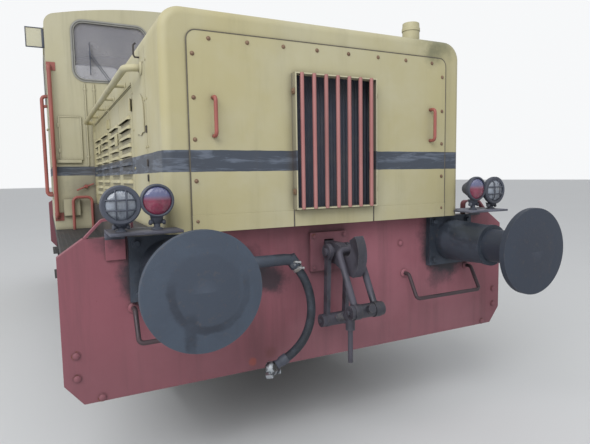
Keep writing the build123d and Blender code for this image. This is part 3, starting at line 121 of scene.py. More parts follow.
class ShunterSizes(bpy.types.PropertyGroup):
    """Sizes of the shunter's small fittings."""

    bolt: bpy.props.FloatProperty(
        name="Panel bolt", description="Radius of a panel bolt's head", unit="LENGTH", subtype="DISTANCE",
        default=0.0085)
    beam_bolt: bpy.props.FloatProperty(
        name="Beam bolt", description="Radius of a beam bolt's head", unit="LENGTH", subtype="DISTANCE",
        default=0.017)
    hose: bpy.props.FloatProperty(
        name="Brake hose", description="Radius of the brake hose", unit="LENGTH", subtype="DISTANCE",
        default=0.022)
    edge: bpy.props.FloatProperty(
        name="Edge", description="Rounding of plate edges", unit="LENGTH", subtype="DISTANCE", default=0.0025)
    band_low: bpy.props.FloatProperty(
        name="Band bottom", description="Height of the dark band's lower edge", unit="LENGTH",
        subtype="DISTANCE", default=RAIL + 1.486)
    band_high: bpy.props.FloatProperty(
        name="Band top", description="Height of the dark band's upper edge", unit="LENGTH",
        subtype="DISTANCE", default=RAIL + 1.586)
    cab_band_low: bpy.props.FloatProperty(
        name="Cab band bottom", description="Height of the cab band's lower edge", unit="LENGTH",
        subtype="DISTANCE", default=RAIL + 1.501)
    cab_band_high: bpy.props.FloatProperty(
        name="Cab band top", description="Height of the cab band's upper edge", unit="LENGTH",
        subtype="DISTANCE", default=RAIL + 1.595)


class ShunterStage(bpy.types.PropertyGroup):
    """Camera and light."""

    camera_place: bpy.props.FloatVectorProperty(
        name="Camera", description="Place of the camera", subtype="XYZ", unit="LENGTH", size=3,
        default=(-1.3603, -5.2796, 1.4892))
    camera_yaw: bpy.props.FloatProperty(
        name="Yaw", description="Turn of the camera to the right", subtype="ANGLE", unit="ROTATION",
        default=0.46433)
    camera_pitch: bpy.props.FloatProperty(
        name="Pitch", description="Tilt of the camera downwards", subtype="ANGLE", unit="ROTATION",
        default=0.093614)
    camera_roll: bpy.props.FloatProperty(
        name="Roll", description="Roll of the camera", subtype="ANGLE", unit="ROTATION", default=-0.017039)
    lens: bpy.props.FloatProperty(
        name="Lens", description="Focal length in millimetres", default=30.15)
    sky: bpy.props.FloatProperty(
        name="Sky", description="Strength of the soft light from all round", default=0.62)
    key: bpy.props.FloatProperty(
        name="Key", description="Power of the large soft lamp in watts", default=900.0)
    floor: bpy.props.FloatVectorProperty(
        name="Floor", description="Floor colour", subtype="COLOR", size=3, default=(0.72, 0.73, 0.74))


# Finishes


class Finish:
    """One procedural material on Object coordinates, built node by node."""

    def __init__(self, name):
        self.name = name
        self.material = bpy.data.materials.new(name)
        self.material.use_nodes = True
        self.nodes = self.material.node_tree.nodes
        self.links = self.material.node_tree.links
        self.shader = self.nodes["Principled BSDF"]
        self.place = self.node("TexCoord").outputs["Object"]

    def feed(self, socket, value):
        """Links a node's output to a socket, or sets the socket's own value."""
        if isinstance(value, bpy.types.NodeSocket):
            self.links.new(value, socket)
        elif socket.type == "RGBA" and len(value) == 3:
            socket.default_value = (*value, 1)
        else:
            socket.default_value = value

    def node(self, kind, place=None, **values):
        """A new node that reads a place, with its inputs fed by name."""
        node = self.nodes.new(f"ShaderNode{kind}")
        if place is not None:
            self.links.new(place, node.inputs["Vector"])
        for key, value in values.items():
            self.feed(node.inputs[key], value)
        return node

    def math(self, operation, first, second=0.0, third=0.5):
        node = self.node("Math")
        node.operation = operation
        for index, part in enumerate((first, second, third)):
            self.feed(node.inputs[index], part)
        return node.outputs[0]

    def times(self, first, second):
        return self.math("MULTIPLY", first, second)

    def plus(self, first, second):
        return self.math("ADD", first, second)

    def minus(self, first, second):
        return self.math("SUBTRACT", first, second)

    def most(self, first, second):
        return self.math("MAXIMUM", first, second)

    def rest(self, value):
        """What a value leaves of 1."""
        return self.minus(1.0, value)

    def ramp(self, value, low, high):
        """A smooth step from 0 at low to 1 at high."""
        node = self.node("MapRange")
        node.interpolation_type = "SMOOTHSTEP"
        for index, part in enumerate((value, low, high)):
            self.feed(node.inputs[index], part)
        return node.outputs[0]

    def fall(self, value, low, high):
        """A smooth step from 1 at low to 0 at high."""
        return self.rest(self.ramp(value, low, high))

    def mix(self, share, first, second):
        """The first colour, and as much of the second as the share says."""
        node = self.node("Mix")
        node.data_type = "RGBA"
        for index, part in ((0, share), (6, first), (7, second)):
            self.feed(node.inputs[index], part)
        return node.outputs[2]

    def scaled(self, stretch, shift=(0, 0, 0)):
        """Object coordinates moved and stretched."""
        return self.node("Mapping", self.place, Scale=stretch, Location=shift).outputs[0]

    def noise(self, scale, detail=4, roughness=0.6, stretch=(1, 1, 1), warp=0.0, shift=(0, 0, 0)):
        return self.node("TexNoise", self.scaled(stretch, shift), Scale=scale, Detail=detail,
                         Roughness=roughness, Distortion=warp).outputs[0]

    def wave(self, scale, direction="X", warp=0.0, profile="SIN"):
        """Bands that follow each other along an axis."""
        node = self.node("TexWave", self.place, Scale=scale, Distortion=warp)
        node.bands_direction = direction
        node.wave_profile = profile
        return node.outputs["Fac"]

    def axis(self, letter):
        return self.node("SeparateXYZ", self.place).outputs[letter]

    def away(self, place):
        """Distance from a place; an axis given as None doesn't count."""
        flat = self.node("VectorMath", self.place)
        flat.operation = "MULTIPLY_ADD"
        flat.inputs[1].default_value = [0 if value is None else 1 for value in place]
        flat.inputs[2].default_value = [-(value or 0) for value in place]
        length = self.node("VectorMath", flat.outputs[0])
        length.operation = "LENGTH"
        return length.outputs["Value"]

    def spot(self, place, core, fade, ragged):
        """A ragged round patch about a place, used for stains and painted shadows alike: 1 within core, 0
        beyond fade.
        """
        edge = self.times(self.noise(7, 5, 0.7), ragged * 2)
        out = self.minus(self.plus(self.away(place), edge), ragged)
        return self.fall(out, core, fade)

    def facing(self, letter):
        """How much the surface faces along an axis, either way."""
        normal = self.node("TexCoord").outputs["Normal"]
        return self.math("ABSOLUTE", self.node("SeparateXYZ", normal).outputs[letter])

    def corner(self, distance, inside):
        """How open a spot is: low in crevices, or with inside on, low along outer edges."""
        node = self.node("AmbientOcclusion", Distance=distance)
        node.samples = 6
        node.inside = inside
        node.only_local = inside
        return node.outputs["AO"]

    def bump(self, height, depth, under=None):
        """Relief of a height times a depth in metres, over the relief under it."""
        node = self.node("Bump", Height=height, Distance=depth, Strength=1.0)
        if under:
            self.links.new(under, node.inputs["Normal"])
        return node.outputs[0]

    def done(self, colour, roughness, normal=None, metallic=0.0, **constants):
        """Joins the parts to the shader, lists the material and returns it."""
        self.feed(self.shader.inputs["Base Color"], colour)
        self.feed(self.shader.inputs["Roughness"], roughness)
        self.feed(self.shader.inputs["Metallic"], metallic)
        if normal:
            self.links.new(normal, self.shader.inputs["Normal"])
        for key, value in constants.items():
            self.shader.inputs[key.replace("_", " ")].default_value = value
        FINISHES[self.name] = self.material
        return self.material


def worn_paint(name, colour, faded, dirt, dirt_share, rust_share, chips, band=None, band_colour=None,
               gloss=0.42, darker_below=None, stains_and_shadows=(), side_shade=0.0):
    """Brushed or sprayed paint that faded in clouds, with streaks, chipped edges and a dark band, with
    painted shade in its crevices and, where asked, on faces turned sideways.
    """
    rust = bpy.context.scene.shunter_paint.rust
    f = Finish(name)
    height = f.axis("Z")
    cloud = f.noise(1.15, 5, 0.62)
    fine = f.noise(14, 6, 0.7, warp=0.4)
    grain = f.noise(170, 3, 0.6)
    streak = f.noise(7, 6, 0.68, stretch=(1, 1, 0.07))
    wide = f.noise(2.1, 5, 0.6, stretch=(1, 1, 0.35), shift=(3, 1, 0))
    tone = f.mix(f.ramp(cloud, 0.36, 0.66), colour, faded)
    tone = f.mix(f.times(f.ramp(fine, 0.5, 0.85), 0.22), tone, faded)
    if band:
        low, high = band
        soft = 0.001
        wobbly = f.plus(height, f.math("MULTIPLY_ADD", f.noise(9, 3, 0.6), 0.006, -0.003))
        inside = f.times(f.ramp(wobbly, low - soft, low + soft), f.fall(wobbly, high - soft, high + soft))
        brushed = f.ramp(f.noise(6, 5, 0.65, stretch=(0.55, 0.55, 4.5), warp=0.5), 0.50, 0.62)
        black = f.mix(f.times(brushed, 0.8), band_colour, [c * 2.2 + 0.03 for c in band_colour])
        tone = f.mix(inside, tone, black)
    soot = f.times(f.ramp(streak, 0.47, 0.8), dirt_share)
    tone = f.mix(soot, tone, dirt)
    tone = f.mix(f.times(f.ramp(wide, 0.52, 0.78), dirt_share * 0.55), tone, dirt)
    # Painted shade: crevices and spots under overhangs, such as the beam's top under the hood, are darkened
    # towards the dirt colour
    crevice = f.fall(f.corner(0.05, False), 0.35, 0.95)
    tone = f.mix(f.times(crevice, 0.65), tone, dirt)
    # Darker towards the bottom, below the heights given
    if darker_below:
        tone = f.mix(f.times(f.fall(height, *darker_below), 0.28), tone, dirt)
    # Painted shade: faces turned to either side, such as the grille casing's side walls, are darkened
    if side_shade:
        tone = f.mix(f.times(f.facing("X"), side_shade), tone, (0.060, 0.052, 0.058))
    # Stains, and the painted shadows given the same way
    for place, core, fade, share, mark_colour in stains_and_shadows:
        tone = f.mix(f.times(f.spot(place, core, fade, min(0.10, fade)), share), tone, mark_colour)
    chipped = 0.735 - 0.07 * rust_share
    bare = f.ramp(f.noise(34, 6, 0.8), chipped, chipped + 0.02)
    if chips:
        edge_open = f.fall(f.corner(0.006, True), 0.25, 0.8)
        chip = f.times(edge_open, f.ramp(f.noise(23, 5, 0.75), 0.53, 0.6))
        bare = f.most(f.times(chip, chips), bare)
    rusty = f.mix(f.ramp(fine, 0.4, 0.65), rust, [c * 0.45 for c in rust])
    tone = f.mix(bare, tone, rusty)
    run = f.ramp(f.noise(11, 5, 0.7, stretch=(1, 1, 0.045), shift=(7, 2, 0)), 0.64, 0.8)
    tone = f.mix(f.times(run, rust_share * 0.6), tone, rust)
    rough = f.plus(f.plus(f.times(fine, 0.25), gloss), f.times(soot, 0.2))
    rough = f.most(rough, f.times(bare, 0.85))
    dented = f.bump(f.noise(1.9, 2, 0.5, shift=(0, 4, 2)), 0.0088)
    grained = f.bump(grain, 0.00025, dented)
    return f.done(tone, rough, f.bump(bare, -0.0006, grained))


def greasy_metal(name, colour, dark, share, centres=(), radius=0.0, edges=0.6):
    """Bare or painted steel under old grease: blotches of wet and dry, dust in the hollows."""
    paint = bpy.context.scene.shunter_paint
    f = Finish(name)
    blotch = f.noise(5.5, 6, 0.65, warp=0.5)
    fine = f.noise(38, 5, 0.7)
    wet = f.ramp(blotch, 0.42, 0.62)
    if centres:
        drips = f.ramp(f.noise(13, 5, 0.7, stretch=(1, 1, 0.06)), 0.5, 0.68)
        wet = f.times(f.most(wet, drips), 0.3)
    for centre in centres:
        wet = f.most(wet, f.times(f.spot(centre, radius, radius + 0.03, 0.03), 0.5))
    tone = f.mix(f.times(wet, share), colour, dark)
    if centres:
        wobble = f.times(f.minus(f.noise(16, 5, 0.7), 0.5), 0.035)
        # Painted shade: the buffer on the right, at +X, is made darker than the one on the left
        shaded = f.ramp(f.axis("X"), -0.1, 0.1)
        tone = f.mix(f.times(shaded, 0.62), tone, dark)
        x, y, z = centres[0]
        out = f.plus(f.away((x + 0.02, y, z)), wobble)
        worn = f.times(f.ramp(out, radius - 0.012, radius), f.fall(out, radius + 0.018, radius + 0.030))
        worn = f.times(worn, f.fall(f.axis("Z"), z, z + 0.07))
        beside = f.plus(f.away((x - 0.055, None, None)), wobble)
        drip = f.times(f.fall(beside, 0.012, 0.028), f.fall(f.axis("Z"), z - 0.10, z - 0.06))
        drip = f.times(drip, f.rest(shaded))
        patches = f.ramp(f.noise(9, 4, 0.6, shift=(2, 0, 1)), 0.35, 0.65)
        patchy = f.math("MULTIPLY_ADD", patches, 0.45, 0.25)
        tone = f.mix(f.times(f.most(worn, drip), patchy), tone, [c * 0.8 for c in dark])
    tone = f.mix(f.times(f.ramp(fine, 0.55, 0.8), 0.35), tone, paint.dust)
    if edges:
        bright = f.fall(f.corner(0.006, True), 0.3, 0.85)
        bright = f.times(bright, f.times(f.ramp(fine, 0.4, 0.6), edges))
        tone = f.mix(bright, tone, (0.17, 0.165, 0.165))
    pit = f.ramp(f.noise(26, 6, 0.8, shift=(5, 5, 5)), 0.66, 0.74)
    tone = f.mix(f.times(pit, 0.55), tone, paint.rust)
    rough = f.plus(f.minus(0.66, f.times(wet, 0.30)), f.times(fine, 0.12))
    normal = f.bump(f.noise(120, 4, 0.7), 0.0006, f.bump(blotch, 0.004))
    return f.done(tone, rough, normal, metallic=0.35)


def running_gear_black(name, dust_share, tread=False):
    """Matt black frame paint under brake dust and rust, with raised lozenges on a walkway."""
    paint = bpy.context.scene.shunter_paint
    f = Finish(name)
    cloud = f.noise(3.0, 6, 0.65)
    fine = f.noise(45, 5, 0.75)
    low = f.fall(f.axis("Z"), 0.15, 1.1)
    dust = f.times(f.plus(f.ramp(cloud, 0.4, 0.72), f.times(low, 0.45)), dust_share)
    tone = f.mix(dust, paint.black, paint.dust)
    pale_dust = [c * 1.5 for c in paint.dust]
    tone = f.mix(f.times(f.ramp(fine, 0.55, 0.75), 0.7 * dust_share), tone, pale_dust)
    pit = f.ramp(f.noise(19, 6, 0.8, shift=(1, 8, 2)), 0.6, 0.68)
    tone = f.mix(f.times(pit, 0.7), tone, paint.rust)
    rough = f.plus(0.55, f.times(fine, 0.35))
    normal = f.bump(fine, 0.0008)
    if tread:
        grid = f.node("TexVoronoi", f.scaled((1, 0.5, 0)), Scale=26, Randomness=0)
        grid.distance = "MANHATTAN"
        raised = f.times(f.fall(grid.outputs["Distance"], 0.22, 0.34), f.facing("Z"))
        tone = f.mix(f.times(raised, 0.4), tone, (0.10, 0.10, 0.105))
        normal = f.bump(raised, 0.002, normal)
    return f.done(tone, rough, normal)


def wheel_steel(name, axle):
    """Rusty brown web, dusty hub and a bright worn tread, by distance from the axle."""
    paint = bpy.context.scene.shunter_paint
    f = Finish(name)
    out = f.away((None, *axle))
    fine = f.noise(40, 5, 0.7)
    tone = f.mix(f.ramp(f.noise(8, 6, 0.7), 0.35, 0.7), (0.055, 0.042, 0.035), paint.rust)
    tone = f.mix(f.times(f.ramp(fine, 0.5, 0.8), 0.5), tone, paint.dust)
    tread = f.times(f.ramp(out, 0.416, 0.421), f.fall(out, 0.438, 0.446))
    tone = f.mix(tread, tone, (0.36, 0.35, 0.34))
    rough = f.minus(0.78, f.times(tread, 0.42))
    metallic = f.math("MULTIPLY_ADD", tread, 0.7, 0.15)
    normal = f.bump(f.times(f.wave(120), tread), 0.0002)
    normal = f.bump(fine, 0.0007, normal)
    return f.done(tone, rough, normal, metallic)


def bare_metal(name, colour, roughness, tarnish=(0.10, 0.08, 0.06)):
    """Plated or cast metal with scratches and tarnish."""
    f = Finish(name)
    cloud = f.noise(30, 5, 0.6)
    tone = f.mix(f.times(f.ramp(cloud, 0.45, 0.6), 0.8), colour, tarnish)
    crevice = f.fall(f.corner(0.01, False), 0.3, 0.9)
    tone = f.mix(f.times(crevice, 0.7), tone, tarnish)
    rough = f.plus(roughness, f.times(cloud, 0.3))
    normal = f.bump(f.noise(260, 3, 0.7, stretch=(1, 0.2, 1)), 0.0002)
    return f.done(tone, rough, normal, metallic=0.9)


def rubber(name, colour, rough, ribs=0):
    """Aged rubber, greyed and cracked, with cloth ribs on a hose."""
    f = Finish(name)
    cloud = f.noise(18, 6, 0.7)
    tone = f.mix(f.ramp(cloud, 0.4, 0.75), colour, [min(c * 2.6 + 0.012, c + 0.05) for c in colour])
    tone = f.mix(f.times(f.ramp(f.noise(70, 4, 0.8), 0.6, 0.75), 0.4), tone, (0.12, 0.10, 0.08))
    normal = f.bump(f.noise(150, 4, 0.8), 0.0005)
    if ribs:
        normal = f.bump(f.wave(ribs, "Z", 0.6), 0.0008, normal)
    return f.done(tone, f.plus(rough, f.times(cloud, 0.25)), normal)


def window_glass(name, tint, see_through, dirt_share):
    """Old glass: a clear pane under an uneven film of dust and specks."""
    f = Finish(name)
    film = f.ramp(f.noise(3, 4, 0.55), 0.3, 0.9)
    specks = f.ramp(f.noise(60, 5, 0.8), 0.62, 0.75)
    dust = f.times(f.most(film, specks), dirt_share)
    tone = f.mix(dust, tint, (0.50, 0.48, 0.44))
    alpha = f.plus(1 - see_through, f.times(dust, see_through * 0.8))
    f.feed(f.shader.inputs["Alpha"], alpha)
    f.material.surface_render_method = "DITHERED"
    return f.done(tone, f.math("MULTIPLY_ADD", dust, 0.4, 0.5), IOR=1.5)


def lens_glass(name, colour, ribs=55, upper=None, split=0.0):
    """A moulded lamp lens: ribbed tinted glass over a bright bowl, with a painted sky reflection on its upper
    half.
    """
    f = Finish(name)
    tone = f.mix(f.ramp(f.noise(14, 4, 0.6), 0.35, 0.7), colour, [c * 0.55 for c in colour])
    if upper:
        # Painted reflection: above the split the lens takes the pale blue of the sky it would mirror
        tone = f.mix(f.ramp(f.axis("Z"), split - 0.006, split + 0.022), tone, upper)
    return f.done(tone, 0.08, f.bump(f.wave(ribs), 0.0012), Coat_Weight=1.0, Coat_Roughness=0.06)


def floor_boards(name):
    """Worn planks across the cab."""
    f = Finish(name)
    grain = f.noise(5, 8, 0.65, stretch=(1, 14, 1), warp=0.6)
    tone = f.mix(f.ramp(grain, 0.3, 0.75), (0.11, 0.075, 0.045), (0.24, 0.18, 0.12))
    gap = f.ramp(f.wave(2.2, "Y", profile="SAW"), 0.94, 0.99)
    tone = f.mix(gap, tone, (0.02, 0.018, 0.015))
    normal = f.bump(f.minus(grain, gap), 0.002)
    return f.done(tone, f.plus(0.6, f.times(grain, 0.3)), normal)


def seat_vinyl(name):
    """Dark grained vinyl, polished where it is sat on."""
    f = Finish(name)
    cells = f.node("TexVoronoi", f.place, Scale=420)
    tone = f.mix(f.ramp(f.noise(7, 5, 0.6), 0.4, 0.7), (0.030, 0.024, 0.022), (0.075, 0.060, 0.052))
    normal = f.bump(cells.outputs["Distance"], 0.0006)
    normal = f.bump(f.noise(9, 3, 0.5), 0.004, normal)
    return f.done(tone, f.plus(0.36, f.times(f.noise(11, 4, 0.6), 0.3)), normal)


def machine_grey(name, colour, oil, edges=1.0):
    """Hammered grey enamel with oil and dust."""
    f = Finish(name)
    cloud = f.noise(4, 6, 0.7)
    tone = f.mix(f.times(f.ramp(cloud, 0.42, 0.7), oil), colour, (0.03, 0.026, 0.022))
    if edges:
        edge = f.fall(f.corner(0.006, True), 0.3, 0.85)
        worn = f.times(f.ramp(f.noise(30, 5, 0.7), 0.5, 0.6), edges)
        tone = f.mix(f.times(edge, worn), tone, (0.30, 0.29, 0.27))
    normal = f.bump(f.noise(190, 3, 0.6), 0.0005)
    return f.done(tone, f.plus(0.35, f.times(cloud, 0.4)), normal)


def finned_core(name):
    """Dark radiator core with fine upright tubes and level fins."""
    f = Finish(name)
    fins, tubes = f.wave(60, "Z"), f.wave(16)
    tone = f.mix(f.ramp(f.noise(6, 5, 0.7), 0.4, 0.7), (0.080, 0.092, 0.128), (0.110, 0.116, 0.140))
    return f.done(tone, 0.7, f.bump(f.plus(fins, f.times(tubes, 2.0)), 0.003))


# Modelling helpers


def fresh():
    """Back to object mode with nothing selected."""
    if bpy.context.mode != "OBJECT":
        bpy.ops.object.mode_set(mode="OBJECT")
    bpy.ops.object.select_all(action="DESELECT")


def settle(place=None):
    """Moves the active piece by a matrix and puts its place into its mesh."""
    obj = bpy.context.object
    if place is not None:
        obj.matrix_world = place @ obj.matrix_world
    bpy.ops.object.transform_apply(location=True, rotation=True, scale=True)
    return obj


def stacked(stations, sides, fill):
    """A circle at the first (radius, height) station, extruded to each of the others, in edit mode."""
    fresh()
    radius, height = stations[0]
    bpy.ops.mesh.primitive_circle_add(vertices=sides, radius=radius, fill_type=fill,
                                      location=(0, 0, height))
    bpy.ops.object.mode_set(mode="EDIT")
    for (start, low), (end, high) in zip(stations, stations[1:]):
        bpy.ops.mesh.extrude_region_move(TRANSFORM_OT_translate={"value": (0, 0, high - low)})
        bpy.ops.transform.resize(value=(end / start, end / start, 1))
    bpy.ops.mesh.select_all(action="SELECT")


def turned(stations, sides, place=None):
    """A solid turned about Z through (radius, height) stations."""
    stacked(stations, sides, "NGON")
    bpy.ops.mesh.normals_make_consistent(inside=False)
    bpy.ops.object.mode_set(mode="OBJECT")
    return settle(place)


def ring(stations, sides, place):
    """An open-centred ring about Z: a closed loop of (radius, height) stations."""
    stacked([*stations, stations[0]], sides, "NOTHING")
    bpy.ops.mesh.remove_doubles(threshold=1e-6)
    bpy.ops.mesh.normals_make_consistent(inside=False)
    bpy.ops.object.mode_set(mode="OBJECT")
    return settle(place)


def slab(low, high, edge=0.002, segments=2):
    """A plate or bar between two corners with rounded edges."""
    fresh()
    low, high = Vector(low), Vector(high)
    bpy.ops.mesh.primitive_cube_add(size=1, location=(low + high) / 2, scale=high - low)
    settle()
    bpy.ops.object.mode_set(mode="EDIT")
    bpy.ops.mesh.select_all(action="SELECT")
    bpy.ops.mesh.bevel(offset=edge, segments=segments, affect="EDGES")
    bpy.ops.object.mode_set(mode="OBJECT")
    return bpy.context.object


def line(points, radius, sides, closed=False):
    """A round bar along a run of points."""
    fresh()
    curve = bpy.data.curves.new("run", "CURVE")
    curve.dimensions = "3D"
    curve.bevel_depth = radius
    curve.bevel_resolution = sides // 2 - 2
    curve.use_fill_caps = not closed
    spline = curve.splines.new("POLY")
    spline.points.add(len(points) - 1)
    for item, point in zip(spline.points, points):
        item.co = (*point, 1)
    spline.use_cyclic_u = closed
    obj = bpy.data.objects.new("run", curve)
    bpy.context.collection.objects.link(obj)
    bpy.context.view_layer.objects.active = obj
    obj.select_set(True)
    bpy.ops.object.convert(target="MESH")
    return bpy.context.object


def gathered(pieces, place=None):
    """Several shapes joined into one piece."""
    fresh()
    for piece in pieces:
        piece.select_set(True)
    bpy.context.view_layer.objects.active = pieces[0]
    if len(pieces) > 1:
        bpy.ops.object.join()
    return settle(place)


def copies(pattern, places):
    """The pattern copied to each place, all joined into one piece."""
    made = []
    for place in places:
        other = pattern.copy()
        other.data = pattern.data.copy()
        other.data.transform(place)
        if place.determinant() < 0:
            other.data.flip_normals()
        bpy.context.collection.objects.link(other)
        made.append(other)
    bpy.data.objects.remove(pattern)
    return gathered(made)


def fitted(obj, name, material, body=BODY, instead=(), angle=32):
    """Names a finished piece, shades it, paints it and lets it ride on its body."""
    fresh()
    obj.select_set(True)
    bpy.context.view_layer.objects.active = obj
    bpy.ops.object.shade_smooth_by_angle(angle=math.radians(angle))
    obj.name = name
    obj.data.name = name
    obj.data.materials.clear()
    obj.data.materials.append(FINISHES[material])
    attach(obj, body)
    if instead:
        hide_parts(*instead)
    return obj


def towards(point, direction):
    """The matrix that takes Z to a direction at a point."""
    turn = Vector(direction).to_track_quat("Z", "Y").to_matrix().to_4x4()
    return Matrix.Translation(point) @ turn


def on_beam(x, out, z):
    """A point in front of the front beam's face, its height taken over the rails."""
    return (x, BEAM_FACE - out, RAIL + z)


def on_hood(x, out, z):
    """A point in front of the hood's front panel, its height taken over the rails."""
    return (x, HOOD_FACE - out, RAIL + z)


def on_cab(x, out, z):
    """A point in front of the cab's front wall, its height taken over the rails."""
    return (x, CAB_FACE - out, RAIL + z)


def on_sides(spots, x):
    """Places that look outwards at (y, z) spots on both sides."""
    return [towards((side * x, y, z), (side, 0, 0)) for side in SIDES for y, z in spots]


def both_ends(places):
    """The same places at the front and, mirrored, at the rear."""
    flip = Matrix.Diagonal((1, -1, 1, 1))
    return [*places, *[flip @ place for place in places]]


def both_sides(obj):
    """The piece and its mirror image on the other side."""
    return copies(obj, [HERE, MIRROR])


def four_corners(obj):
    """The piece on both sides at both ends."""
    return copies(obj, both_ends([HERE, MIRROR]))


def hex_bolt(radius):
    """A six-sided bolt head on a round washer, standing along Z."""
    washer = radius * 1.45
    disc = turned([(washer, 0), (washer, radius * 0.22), (radius * 1.1, radius * 0.27)], 14)
    head = turned([(radius, radius * 0.2), (radius, radius * 0.85), (radius * 0.86, radius)], 6)
    return gathered([disc, head])


def dome_bolt(radius):
    """A worn domed bolt head on a thin washer."""
    disc = turned([(radius * 1.22, 0), (radius * 1.18, radius * 0.12)], 16)
    head = turned([(radius, radius * 0.1), (radius * 0.92, radius * 0.45), (radius * 0.55, radius * 0.72),
                   (radius * 0.15, radius * 0.78)], 10)
    return gathered([disc, head])


def lens_guard(x, y, z, lens):
    """Two upright and two level wires that bow over a lens."""
    wires = []
    for offset in (-0.0215, 0.0215):
        reach = math.sqrt(lens ** 2 - offset ** 2)
        for upright in (True, False):
            points = []
            for step in range(-3, 4):
                along = step / 3
                out = 0.003 + 0.017 * (1 - along ** 4)
                u, v = (offset, reach * along) if upright else (reach * along, offset)
                points.append((x + u, y - out, z + v))
            wires.append(line(points, 0.0034, 8))
    return wires


def rounded_outline(low, high, radius, steps=6):
    """The points of an upright rectangle with round corners, from its low to its high corner."""
    (a, c), (b, d) = low, high
    points = []
    for x, z, start in ((b - radius, d - radius, 0), (a + radius, d - radius, 90),
                        (a + radius, c + radius, 180), (b - radius, c + radius, 270)):
        for step in range(steps + 1):
            angle = math.radians(start + 90 * step / steps)
            points.append((x + radius * math.cos(angle), z + radius * math.sin(angle)))
    return points


# Operators


class Piece(bpy.types.Operator):
    """Shared base of the shunter's operators."""

    bl_options = {"REGISTER", "UNDO"}


class SHUNTER_OT_stage(Piece):
    """Sets up the camera, the pale floor and the soft light"""

    bl_idname = "shunter.stage"
    bl_label = "Stage"

    def execute(self, context):
        stage = context.scene.shunter_stage
        yaw, pitch, roll = stage.camera_yaw, stage.camera_pitch, stage.camera_roll
        ahead = Vector((math.sin(yaw), math.cos(yaw), 0))
        right = Vector((math.cos(yaw), -math.sin(yaw), 0))
        up = Vector((0, 0, 1))
        look = ahead * math.cos(pitch) - up * math.sin(pitch)
        up = up * math.cos(pitch) + ahead * math.sin(pitch)
        right, up = (right * math.cos(roll) + up * math.sin(roll),
                     up * math.cos(roll) - right * math.sin(roll))
        camera = bpy.data.cameras.new("camera")
        camera.sensor_fit = "HORIZONTAL"
        camera.sensor_width = 36  # millimetres
        camera.lens = stage.lens
        camera.clip_end = 200
        eye = bpy.data.objects.new("camera", camera)
        context.collection.objects.link(eye)
        turn = Matrix((right, up, -look)).transposed().to_4x4()
        eye.matrix_world = Matrix.Translation(stage.camera_place) @ turn
        context.scene.camera = eye

        fresh()
        bpy.ops.mesh.primitive_plane_add(size=160, location=(0, 20, 0))
        floor = bpy.context.object
        floor.name = "floor"
        settle()
        ground = Finish("floor_paint")
        tone = ground.mix(ground.noise(0.4, 3), stage.floor, [c * 0.96 for c in stage.floor])
        floor.data.materials.append(ground.done(tone, 0.9))

        lamp = bpy.data.lights.new("key", "AREA")
        lamp.shape = "RECTANGLE"
        lamp.size, lamp.size_y = 9, 7
        lamp.energy = stage.key
        key = bpy.data.objects.new("key", lamp)
        context.collection.objects.link(key)
        aim = Vector((6.5, 8.0, -7.2)).to_track_quat("-Z", "Y").to_matrix().to_4x4()
        key.matrix_world = Matrix.Translation((-6.5, -8.5, 8.5)) @ aim

        world = bpy.data.worlds.new("sky")
        context.scene.world = world
        world.use_nodes = True
        nodes, links = world.node_tree.nodes, world.node_tree.links
        light = nodes["Background"]
        light.inputs["Color"].default_value = (0.97, 0.985, 1.0, 1)
        light.inputs["Strength"].default_value = stage.sky
        seen = nodes.new("ShaderNodeBackground")
        seen.inputs["Color"].default_value = (0.93, 0.94, 0.95, 1)
        path = nodes.new("ShaderNodeLightPath")
        ray = path.outputs["Is Camera Ray"]
        for other in ("Is Glossy Ray", "Is Transmission Ray"):
            either = nodes.new("ShaderNodeMath")
            either.operation = "MAXIMUM"
            links.new(ray, either.inputs[0])
            links.new(path.outputs[other], either.inputs[1])
            ray = either.outputs[0]
        joined = nodes.new("ShaderNodeMixShader")
        for socket, output in zip(joined.inputs, (ray, light.outputs[0], seen.outputs[0])):
            links.new(output, socket)
        links.new(joined.outputs[0], nodes["World Output"].inputs["Surface"])
        context.scene.view_settings.view_transform = "Standard"
        return {"FINISHED"}


